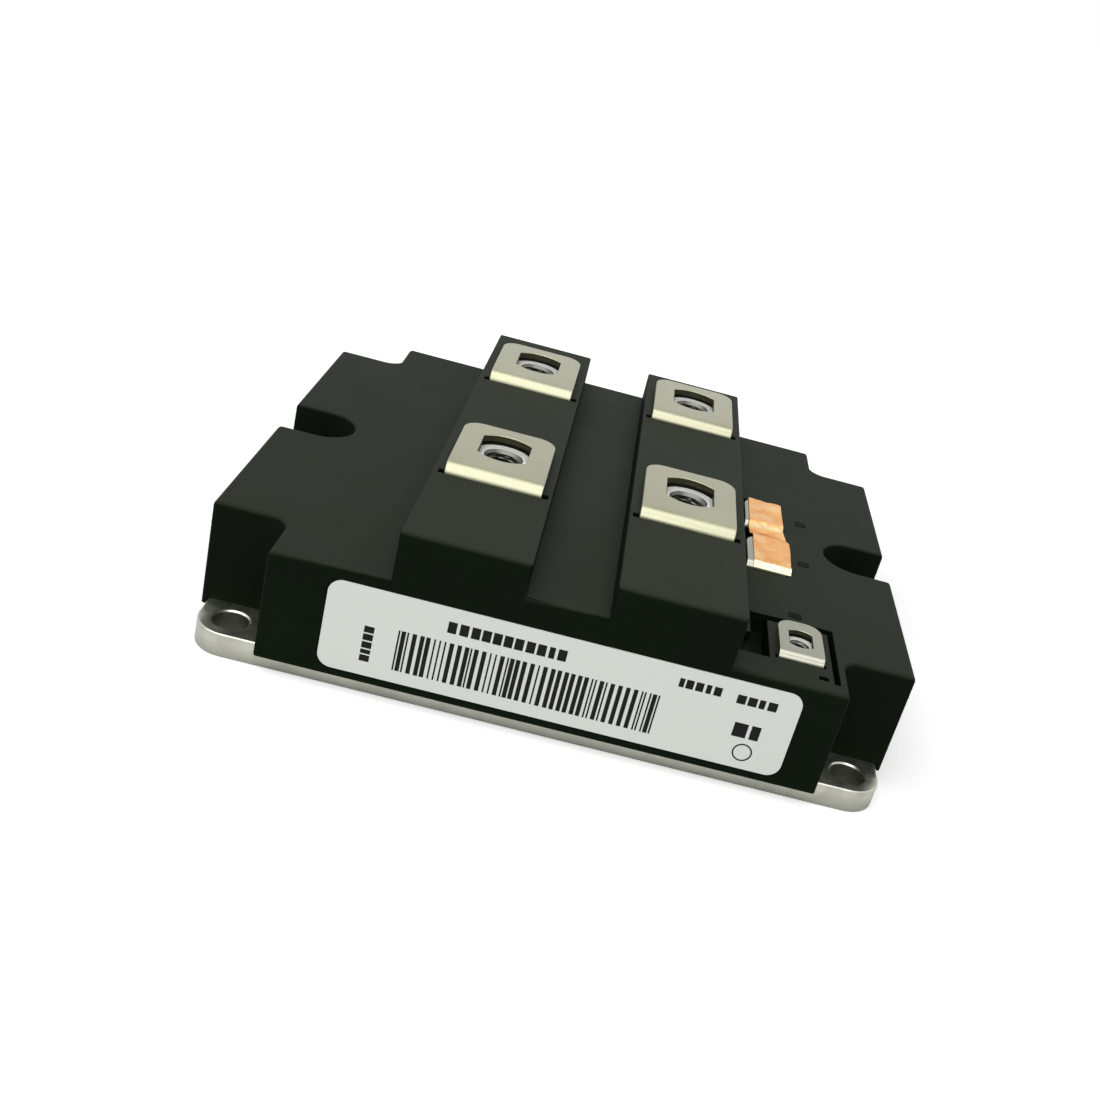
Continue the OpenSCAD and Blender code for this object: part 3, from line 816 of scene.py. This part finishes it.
def label_film(front, back):
    """Rounded film between two depths, with softened edges."""
    width, height = LABEL_HI.x - LABEL_LO.x, LABEL_HI.z - LABEL_LO.z
    centre = (LABEL_LO + LABEL_HI) / 2
    corner_steps = 12
    bm = bmesh.new()
    ring = []
    for quarter, (sx, sz) in enumerate(((1, 1), (-1, 1), (-1, -1), (1, -1))):
        for step in range(corner_steps + 1):
            turn = math.radians(90 * (quarter + step / corner_steps))
            ring.append(bm.verts.new((
                centre.x + sx * (width / 2 - FILM_CORNER) + FILM_CORNER * math.cos(turn),
                back,
                centre.z + sz * (height / 2 - FILM_CORNER) + FILM_CORNER * math.sin(turn))))
    face = bm.faces.new(ring)
    made = bmesh.ops.extrude_face_region(bm, geom=[face])
    moved = [v for v in made["geom"] if isinstance(v, bmesh.types.BMVert)]
    bmesh.ops.translate(bm, vec=(0, front - back, 0), verts=moved)
    bmesh.ops.recalc_face_normals(bm, faces=bm.faces)
    layer = bm.edges.layers.float.new("bevel_weight_edge")
    for edge in bm.edges:
        if all(abs(v.co.y - front) < SAME_POINT for v in edge.verts):
            edge[layer] = 1.0
    film = new_object("label_film", write_mesh(bm, bpy.data.meshes.new("label_film")))
    return bevelled(film, FILM_ROUNDING, segments=2)


def print_ring(front):
    """Thin printed ring on the label, as a closed band."""
    x, z, radius, line = (value * MM for value in RING)
    outer, inner = front - INK_PROUD, front + INK_SUNK
    section = ((radius - line, outer), (radius, outer), (radius, inner),
               (radius - line, inner), (radius - line, outer))
    around = 48

    def point(i, j):
        turn = math.tau * i / around
        far, y = section[j]
        return x + far * math.cos(turn), y, z + far * math.sin(turn)

    return grid_mesh("print_ring", around, len(section), point, closed=True)


def build_label(looks):
    front = LABEL_LO.y + INK_ROOM
    paper = speckled("film_paper", looks.label.film_colour, 1600.0, 0.012, 0.42, 0.004, 0.4)
    settle(label_film(front, LABEL_HI.y), paper, "label_film", "label")
    ink = speckled("printing_ink", looks.label.ink_colour, 2500.0, 0.3, 0.5, 0.0, 0.1)
    tree = shared_group("bar_row")
    ink_middle = front + (INK_SUNK - INK_PROUD) / 2
    bm = bmesh.new()
    rows = ((*BAR_FIELD, looks.label.bars, *BAR_STYLE), *PRINT_ROWS)
    for k, (x, z, length, height, count, thick, share, gap, upright) in enumerate(rows):
        mesh = nodes_result("print_row", tree, {
            "Count": count, "Length": length * MM, "Height": height * MM,
            "Thickness": INK_PROUD + INK_SUNK, "Thick": thick, "Thick Share": share,
            "Gap": gap, "Seed": looks.label.seed + k, "Material": ink})
        if upright:
            mesh.transform(Matrix.Rotation(math.radians(-90), 4, "Y"))
        mesh.transform(Matrix.Translation((x * MM, ink_middle, z * MM)))
        bm.from_mesh(mesh)
    bm.from_mesh(print_ring(front))
    close_up(bm)
    printing = write_mesh(bm, bpy.data.meshes.new("label_print"))
    settle(new_object("label_print", printing), ink, "label_film")


# ---------------------------------------------------------------- terminals
# Tabs: thickness, outer radius of the solid's bend, radius it is opened to, rounding
POWER_TAB = (1.5 * MM, 1.8 * MM, 2.35 * MM, 0.22 * MM)
CONTROL_TAB = (1.0 * MM, 1.2 * MM, 1.6 * MM, 0.16 * MM)
POWER_HOLE_REACH = 7 * MM        # the wall of a tab's hole lies within this radius
CONTROL_HOLE_REACH = 3.6 * MM
CONTROL_HOLE_Y = 6.9 * MM        # from the bend of a control tab to the middle of its hole


def power_screws():
    """Axes of the screws that the power tabs take."""
    return [tuple(mount["pos_m"][:2]) for mount in frame["record"]["mounts"]
            if mount["name"].startswith(("collector_screw", "emitter_screw"))]


def control_screw(node):
    """Axis of the screw that a control tab takes."""
    low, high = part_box(node)
    return (low.x + high.x) / 2, low.y + CONTROL_HOLE_Y


def build_tabs(nodes, word, shape, nickel, cut, axes, reach, low):
    """Tabs of one kind, softened, with their holes' walls in dark cut metal that paints the
    shade inside them.
    """
    thick, radius, wider, rounding = shape
    for node in nodes:
        tab = solid_copy(node, node.replace("terminal", word), lambda edge: 1.0)
        widen_bend(tab, thick, radius, wider)
        settle(bevelled(tab, rounding), nickel, "terminal_nickel", node)
        dress_bores(tab, cut, axes, reach, low)


def build_power_tabs(looks):
    nickel = metal("tab_nickel", looks.metal.tab_colour, 0.31, (60.0, 2400.0, 2400.0),
                   cloud=60.0, relief=0.02, dark=0.90, coat=0.8)
    # Hole walls in dark cut metal, which paints the shade inside the holes
    cut = cut_and_shade_metal("tab_cut_edge", looks.metal.cut_and_shade_colour)
    build_tabs(POWER_NODES, "power_tab", POWER_TAB, nickel, cut, power_screws(),
               POWER_HOLE_REACH, RIDGE_Z)


def build_control_tabs(looks):
    colour = [c * k for c, k in zip(looks.metal.tab_colour, (1.01, 1.03, 1.26))]
    nickel = metal("control_nickel", colour, 0.25, (500.0, 7000.0, 7000.0),
                   cloud=110.0, relief=0.005, dark=0.90)
    # Hole walls in dark cut metal, which paints the shade inside the holes
    cut = cut_and_shade_metal("control_cut_edge", looks.metal.cut_and_shade_colour)
    screws = [control_screw(node) for node in CONTROL_NODES]
    build_tabs(CONTROL_NODES, "tab", CONTROL_TAB, nickel, cut, screws,
               CONTROL_HOLE_REACH, SHOULDER_Z)


# ---------------------------------------------------------------- nuts
def threaded_nut(name, flats, height, bore, pitch):
    """Hexagonal nut on the origin with a helical thread cut into its bore."""
    around = 96                            # columns round the nut
    bore_steps = int(height / pitch * 9)   # rows down the bore, 9 to a turn
    depth = 0.54 * pitch                   # of the thread
    mouth = bore + depth + 0.1 * pitch     # radius of the countersunk foot
    lead = 0.11 * flats / 2                # least depth of the cone at the top
    top = max(mouth, bore + lead)          # radius of that cone
    washer = 0.48 * flats                  # radius where the corners' chamfer starts

    def hexagon(turn):
        side = math.radians(60)
        return flats / 2 / math.cos((turn + side / 2) % side - side / 2)

    def thread(turn, z):
        phase = (z / pitch - turn / math.tau) % 1.0
        ridge = clamp(1.5 - abs(phase - 0.5) * 4)
        return bore + depth * (1.0 - ridge)

    def section(turn):
        corner = hexagon(turn)
        bevel = max(0.0, (corner - washer) * math.tan(math.radians(30)))
        rim = min(corner, washer)
        line = [(rim, 0.0), (corner, bevel), (corner, height - bevel), (rim, height),
                (top, height)]
        for step in range(bore_steps + 1):
            z = height * (1 - step / bore_steps)
            line.append((max(thread(turn, z), top - (height - z), mouth - z), z))
        return line + [line[0]]

    sections = [section(math.tau * i / around) for i in range(around)]

    def point(i, j):
        turn = math.tau * i / around
        radius, z = sections[i][j]
        return radius * math.cos(turn), radius * math.sin(turn), z

    mesh = grid_mesh(name, around, len(sections[0]), point, closed=True)
    bm = bmesh.new()
    bm.from_mesh(mesh)
    close_up(bm)
    write_mesh(bm, mesh).set_sharp_from_angle(angle=math.radians(40))
    return mesh


def set_of_nuts_tree():
    """Geometry tree: one nut on every point of the incoming mesh."""
    graph, given, end = node_group(
        "GeometryNodeTree", "nut_on_each_seat",
        [("Seats", "NodeSocketGeometry", None), ("Nut", "NodeSocketObject", None),
         ("Material", "NodeSocketMaterial", None)],
        [("Geometry", "NodeSocketGeometry")])
    nut = graph.add("GeometryNodeObjectInfo", {"Object": given["Nut"]})
    placed = graph.add("GeometryNodeInstanceOnPoints",
                       {"Points": given["Seats"],
                        "Instance": nut.outputs["Geometry"]}).outputs[0]
    real = graph.add("GeometryNodeRealizeInstances", {"Geometry": placed}).outputs[0]
    dressed = graph.add("GeometryNodeSetMaterial",
                        {"Geometry": real, "Material": given["Material"]}).outputs[0]
    graph.feed(end, {"Geometry": dressed})
    return graph.tree


THREAD_REACH = 0.62   # pitches from the bore to the outside of the thread's faces
# Nuts: across the flats, radius of the bore, and how far they lie above their solids
LARGE_NUT = (13 * MM, 3.4 * MM, 0.6 * MM)
SMALL_NUT = (7 * MM, 1.65 * MM, 0.3 * MM)


def build_nuts(looks):
    zinc = metal("nut_zinc", looks.metal.nut_colour, 0.13, (1200.0, 1200.0, 3000.0),
                 cloud=300.0, relief=0.0006, dark=0.9, metallic=0.15)
    steel = metal("thread_steel", looks.metal.thread_colour, 0.30,
                  (900.0, 900.0, 4000.0), cloud=500.0, relief=0.001)
    tree = set_of_nuts_tree()
    small_screws = [control_screw(node) for node in CONTROL_NODES]
    for name, node, size, pitch, screws in (
            ("m8_thread_nuts", "m8_nuts", LARGE_NUT, looks.metal.coarse_pitch,
             power_screws()),
            ("m4_thread_nuts", "m4_nuts", SMALL_NUT, looks.metal.fine_pitch,
             small_screws)):
        flats, bore, lift = size
        low, high = (corner.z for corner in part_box(node))
        pattern = new_object("pattern_nut",
                             threaded_nut(name, flats, high - low, bore, pitch))
        seats = bpy.data.meshes.new("seats")
        seats.from_pydata([(x, y, low) for x, y in screws], [], [])
        mesh = nodes_result(name, tree, {"Nut": pattern, "Material": zinc}, seats)
        bpy.data.objects.remove(pattern)
        mesh.transform(Matrix.Translation((0, 0, lift)))
        nuts = settle(new_object(name, mesh), zinc, "nut_zinc", node)
        dress_bores(nuts, steel, screws, bore + THREAD_REACH * pitch, low, steepest=0.98)


# ---------------------------------------------------------------- shorting strip
# Underside of the foil in millimetres, from its rear end over both tabs to its folded
# front: y, z
FOIL_LINE = ((17.4, 27.46), (9.0, 27.44), (5.0, 27.52), (4.3, 27.42), (3.7, 27.12),
             (3.0, 26.86), (0.8, 26.34), (-0.1, 26.24), (-1.2, 26.46), (-3.6, 27.42),
             (-4.3, 27.56), (-6.2, 27.52), (-11.0, 27.46), (-17.1, 27.46),
             (-17.6, 27.37), (-17.93, 27.08), (-18.42, 26.2))
# Its y, left edge, right edge, and how far the right end of a crease lies to the rear
FOIL_EDGES = ((17.4, 36.85, 44.6, -1.7), (12.0, 36.8, 44.8, -0.6), (2.6, 36.75, 44.9, 0.5),
              (0.6, 36.9, 45.5, 0.0), (-4.3, 37.35, 45.75, -0.8),
              (-8.0, 37.3, 45.85, 0.0), (-17.0, 37.3, 45.6, 0.0), (-19.0, 37.4, 46.1, 0.0))
FOIL_COLUMNS, FOIL_ROWS = 60, 200
ON_TABS = ((-17.0, -5.5), (5.0, 16.0))   # stretches of y where a tab holds the foil flat
CURL_ACROSS, CURL_Y = 0.55, 12.5         # the rear corner curls up past these
FOLD_Y = -17.1                           # the foil turns down in front of this


def along_line(points, share):
    """Point at a share of a polyline's length."""
    spans = [(Vector(b) - Vector(a)).length for a, b in zip(points, points[1:])]
    left = share * sum(spans)
    for a, b, span in zip(points, points[1:], spans):
        if left <= span:
            return Vector(a).lerp(Vector(b), left / span)
        left -= span
    return Vector(points[-1])


def edge_at(y):
    """Left edge, right edge and slant of the foil's creases at one y."""
    for (y0, *near), (y1, *far) in zip(FOIL_EDGES, FOIL_EDGES[1:]):
        if y >= y1:
            part = clamp((y0 - y) / (y0 - y1))
            return [a + (b - a) * part for a, b in zip(near, far)]
    return FOIL_EDGES[-1][1:]


def foil_height(x, y, across, crinkle, holes):
    """Lift of the foil above its line: dents, a ripple over each hole, a curled corner."""
    dent = (noise.noise((x * 0.5, y * 0.42, 1.7))
            + 0.55 * noise.noise((x * 1.3, y * 1.0, 8.2))
            + 0.3 * noise.noise((x * 2.7, y * 2.4, 4.4)))
    held = 0.55 if any(low < y < high for low, high in ON_TABS) else 1.0
    lift = crinkle * (dent + 1.5) * held
    ripple_reach, ripple_height, ripple_turn = 3.0, 0.12, 7.0
    for hole_x, hole_y in holes:
        far = math.hypot(x - hole_x, y - hole_y) / ripple_reach
        if far < 1.0:
            lift += ripple_height * math.cos(far * ripple_turn) * (1.0 - far * far)
    curl = max(0.0, across - CURL_ACROSS) * max(0.0, y - CURL_Y)
    return lift + 0.42 * curl


def foil_tint(y, across):
    """Painted light and rubbing of the foil: above 0 lighter, below 0 darker.

    A painted highlight lies on the folded front and in a streak across the rear bend,
    rubbed patches lighten it, and painted shade darkens the crease between the tabs.
    """
    # Painted highlight on the folded front and in a streak across the rear bend
    fold = clamp((FOLD_Y - 0.2 - y) / 0.3)
    bright = math.exp(-((y - 2.5 - 0.8 * across) / 0.9) ** 2)
    # Painted shade along the crease between the tabs
    crease = 0.4 - 1.4 * across - 2.8 * max(0.0, across - 0.78) / 0.22
    dark = math.exp(-((y - crease) / 0.6) ** 2) * min(1.0, 3.0 * across)
    patches = max(0.0, noise.noise((across * 2.3, y * 0.33, 6.6)))
    return max(fold, 0.6 * bright, 0.5 * patches) - 0.9 * dark * (1.0 - bright)


def build_strip(looks):
    crinkle = looks.strip.crinkle / MM
    holes = [[value / MM for value in control_screw(node)] for node in COVERED_NODES]

    def point(i, j):
        y, z = along_line(FOIL_LINE, j / (FOIL_ROWS - 1))
        left, right, slant = edge_at(y)
        across = i / (FOIL_COLUMNS - 1)
        y += slant * across ** 2
        ragged = 0.09 * noise.noise((y * 0.9, across * 5, 3.1))
        x = left + (right - left) * across + ragged
        lift = foil_height(x, y, across, crinkle, holes)
        out = clamp(FOLD_Y - y)
        return x * MM, (y - 0.6 * lift * out) * MM, (z + lift * (1.0 - out)) * MM

    mesh = grid_mesh("copper_foil", FOIL_COLUMNS, FOIL_ROWS, point)
    # Per point: painted highlight and shade, and rubbed patches, for the copper's colour
    wear = mesh.attributes.new("wear", "FLOAT", "POINT")
    for vertex, value in zip(mesh.vertices, wear.data):
        left, right, _ = edge_at(vertex.co.y / MM)
        across = (vertex.co.x / MM - left) / (right - left)
        value.value = foil_tint(vertex.co.y / MM, clamp(across))
    foil = new_object("copper_foil", mesh)
    wall = foil.modifiers.new("thickness", "SOLIDIFY")
    wall.thickness = looks.strip.thickness
    wall.offset = 1.0
    settle(foil, copper_foil("foil_copper", looks.strip.colour), "strip_copper",
           "shorting_strip")


# ---------------------------------------------------------------- power stage
def build_power_stage(looks):
    """Gives the sealed inner nodes their finishes."""
    tracks = metal("track_copper", (0.80, 0.45, 0.30), 0.3, (900.0, 900.0, 900.0), 120.0)
    silicon = chip_surface("chip_metal", (0.55, 0.56, 0.60))
    finishes = {
        "bottom_copper": tracks,
        "top_copper": tracks,
        "ceramic_substrates": speckled("alumina", (0.82, 0.82, 0.80), 2200.0, 0.03, 0.6,
                                       0.01),
        "igbt_chips": silicon,
        "diode_chips": silicon,
        "bond_wires": metal("wire_aluminium", (0.86, 0.86, 0.87), 0.25,
                            (500.0, 5000.0, 5000.0)),
        "gate_board": speckled("board_mask", (0.02, 0.16, 0.07), 700.0, 0.12, 0.3, 0.01),
        "gate_resistors": speckled("resistor_body", (0.02, 0.02, 0.022), 2500.0, 0.2,
                                   0.5, 0.01),
        "gate_pins": metal("pin_nickel", looks.metal.tab_colour, 0.25,
                           (5000.0, 5000.0, 400.0)),
        "silicone_gel": clear_gel("clear_gel", (0.93, 0.95, 0.94)),
    }
    for node, material in finishes.items():
        dress(frame["nodes"][node], material)


# ---------------------------------------------------------------- stage
WORLD_LIGHT = 0.20         # strength of the world as light on matt surfaces
WORLD_GLOSS = 0.85         # its strength in reflections
WORLD_SEEN = 1.0           # its strength to the camera and through glass
FLOOR_REACH = 12.0
FLOOR_GAP = 0.02 * MM      # from the floor to the part
AIM = (0.0, 0.0, 0.02)     # the lamps are turned to this point
# Lamps: name, setting of the power, length of a side, place
LAMPS = (("overhead_softbox", "key_power", 1.0, (-0.18, -0.25, 0.75)),
         ("front_softbox", "fill_power", 0.56, (0.0, -0.90, 0.36)))
CAMERA_PLACE = (-5.403 * MM, -284.438 * MM, 143.742 * MM)
CAMERA_TURN = (62.6359, -14.1883, 3.5898)
CAMERA_SHIFT = (-0.0634, 0.0433)


def area_lamp(name, power, size, place):
    """Square soft lamp at a place, turned to the part."""
    lamp = bpy.data.lights.new(name, "AREA")
    lamp.energy = power
    lamp.shape = "SQUARE"
    lamp.size = size
    held = new_object(name, lamp)
    held.location = place
    held.rotation_euler = (Vector(AIM) - Vector(place)).to_track_quat("-Z", "Y").to_euler()


def build_world():
    """White world to the camera, dimmer as light and in reflections."""
    world = bpy.data.worlds.new("studio")
    world.use_nodes = True
    world.node_tree.nodes.clear()
    graph = Graph(world.node_tree)
    path = graph.add("ShaderNodeLightPath").outputs
    seen = graph.math("MAXIMUM", path["Is Camera Ray"], path["Is Transmission Ray"])
    strength = graph.choose(path["Is Glossy Ray"],
                            graph.choose(seen, WORLD_LIGHT, WORLD_SEEN), WORLD_GLOSS)
    back = graph.add("ShaderNodeBackground", {"Color": (1.0, 1.0, 1.0, 1.0),
                                              "Strength": strength})
    graph.add("ShaderNodeOutputWorld", {"Surface": back.outputs[0]})
    bpy.context.scene.world = world


def build_floor(colour):
    """Pale floor under the part, which the camera sees fade to white far away."""
    mesh = bpy.data.meshes.new("studio_floor")
    level = CAD_BOX[0].z - FLOOR_GAP
    corners = ((-1, -1), (1, -1), (1, 1), (-1, 1))
    mesh.from_pydata([(x * FLOOR_REACH, y * FLOOR_REACH, level) for x, y in corners],
                     [], [(0, 1, 2, 3)])
    floor = new_object("studio_floor", mesh)
    material, graph, shader, place = new_material("floor_paper")
    away = graph.add("ShaderNodeVectorMath", {0: place}, operation="LENGTH").outputs["Value"]
    seen = graph.add("ShaderNodeLightPath").outputs["Is Camera Ray"]
    lift = graph.remap(away, 0.10, 0.50, 0.40, 1.2)
    graph.feed(shader, {
        "Base Color": (*colour, 1.0),
        "Roughness": 0.9,
        "Specular IOR Level": 0.1,
        "Emission Color": (1.0, 1.0, 1.0, 1.0),
        "Emission Strength": graph.math("MULTIPLY", seen, lift)})
    dress(floor, material)


def build_camera(focal_length):
    data = bpy.data.cameras.new("product_camera")
    data.sensor_width = 36.0
    data.lens = focal_length
    data.shift_x, data.shift_y = CAMERA_SHIFT
    data.clip_start = 0.01
    data.clip_end = 100.0
    camera = new_object("product_camera", data)
    camera.location = CAMERA_PLACE
    camera.rotation_euler = [math.radians(a) for a in CAMERA_TURN]
    bpy.context.scene.camera = camera


def build_stage(looks):
    bpy.context.scene.view_settings.view_transform = "Standard"
    build_world()
    build_floor(looks.stage.floor_colour)
    for name, power, size, place in LAMPS:
        area_lamp(name, getattr(looks.stage, power), size, place)
    build_camera(looks.stage.lens)


# ---------------------------------------------------------------- operators
def looks_of(context):
    return context.scene.module_looks


class BaseOperator(bpy.types.Operator):
    """Base plate with rounded rim and countersunk edges, and its seal."""
    bl_idname = "power_module.base"
    bl_label = "Base plate"

    def execute(self, context):
        build_base(looks_of(context))
        return {"FINISHED"}


class HousingOperator(bpy.types.Operator):
    """Moulded frame and cover with rounded edges, and the raised marks."""
    bl_idname = "power_module.housing"
    bl_label = "Housing"

    def execute(self, context):
        build_housing(looks_of(context))
        return {"FINISHED"}


class LabelOperator(bpy.types.Operator):
    """Label film and its printed bars."""
    bl_idname = "power_module.label"
    bl_label = "Label"

    def execute(self, context):
        build_label(looks_of(context))
        return {"FINISHED"}


class PowerTabsOperator(bpy.types.Operator):
    """Four power terminals with softened edges."""
    bl_idname = "power_module.power_tabs"
    bl_label = "Power terminals"

    def execute(self, context):
        build_power_tabs(looks_of(context))
        return {"FINISHED"}


class ControlTabsOperator(bpy.types.Operator):
    """Three control terminals with softened edges."""
    bl_idname = "power_module.control_tabs"
    bl_label = "Control terminals"

    def execute(self, context):
        build_control_tabs(looks_of(context))
        return {"FINISHED"}


class NutsOperator(bpy.types.Operator):
    """Large and small nuts with cut threads."""
    bl_idname = "power_module.nuts"
    bl_label = "Nuts"

    def execute(self, context):
        build_nuts(looks_of(context))
        return {"FINISHED"}


class StripOperator(bpy.types.Operator):
    """Creased copper foil over the control terminals."""
    bl_idname = "power_module.strip"
    bl_label = "Shorting strip"

    def execute(self, context):
        build_strip(looks_of(context))
        return {"FINISHED"}


class PowerStageOperator(bpy.types.Operator):
    """Finishes of the sealed chips, substrates, board and gel."""
    bl_idname = "power_module.power_stage"
    bl_label = "Power stage"

    def execute(self, context):
        build_power_stage(looks_of(context))
        return {"FINISHED"}


class StageOperator(bpy.types.Operator):
    """Floor, lamps, world and camera."""
    bl_idname = "power_module.stage"
    bl_label = "Studio stage"

    def execute(self, context):
        build_stage(looks_of(context))
        return {"FINISHED"}


class ModuleLooks(bpy.types.PropertyGroup):
    """All settings of the module."""
    housing: PointerProperty(type=HousingLooks, name="Housing", description="Plastic")
    metal: PointerProperty(type=MetalLooks, name="Metal", description="Plated metal")
    label: PointerProperty(type=LabelLooks, name="Label", description="Label")
    strip: PointerProperty(type=StripLooks, name="Strip", description="Copper foil")
    stage: PointerProperty(type=StageLooks, name="Stage", description="Studio")


OPERATORS = (BaseOperator, HousingOperator, LabelOperator, PowerTabsOperator,
             ControlTabsOperator, NutsOperator, StripOperator, PowerStageOperator,
             StageOperator)
SETTINGS = (HousingLooks, MetalLooks, LabelLooks, StripLooks, StageLooks)


class ModulePanel(bpy.types.Panel):
    """Lists the settings and the steps that build the module."""
    bl_idname = "POWER_MODULE_PT_looks"
    bl_label = "Power module"
    bl_space_type = "VIEW_3D"
    bl_region_type = "UI"
    bl_category = "Module"

    def draw(self, context):
        looks = looks_of(context)
        for part in ("housing", "metal", "label", "strip", "stage"):
            box = self.layout.box()
            group = getattr(looks, part)
            for key in group.__annotations__:
                box.prop(group, key)
        for operator in OPERATORS:
            self.layout.operator(operator.bl_idname)


CLASSES = (*SETTINGS, ModuleLooks, *OPERATORS, ModulePanel)


def register():
    for item in CLASSES:
        bpy.utils.register_class(item)
    bpy.types.Scene.module_looks = PointerProperty(type=ModuleLooks)


def unregister():
    del bpy.types.Scene.module_looks
    for item in reversed(CLASSES):
        bpy.utils.unregister_class(item)


def main():
    register()
    for operator in OPERATORS:
        step = operator.bl_idname.split(".")[1]
        getattr(bpy.ops.power_module, step)()


if __name__ == "__main__":
    main()
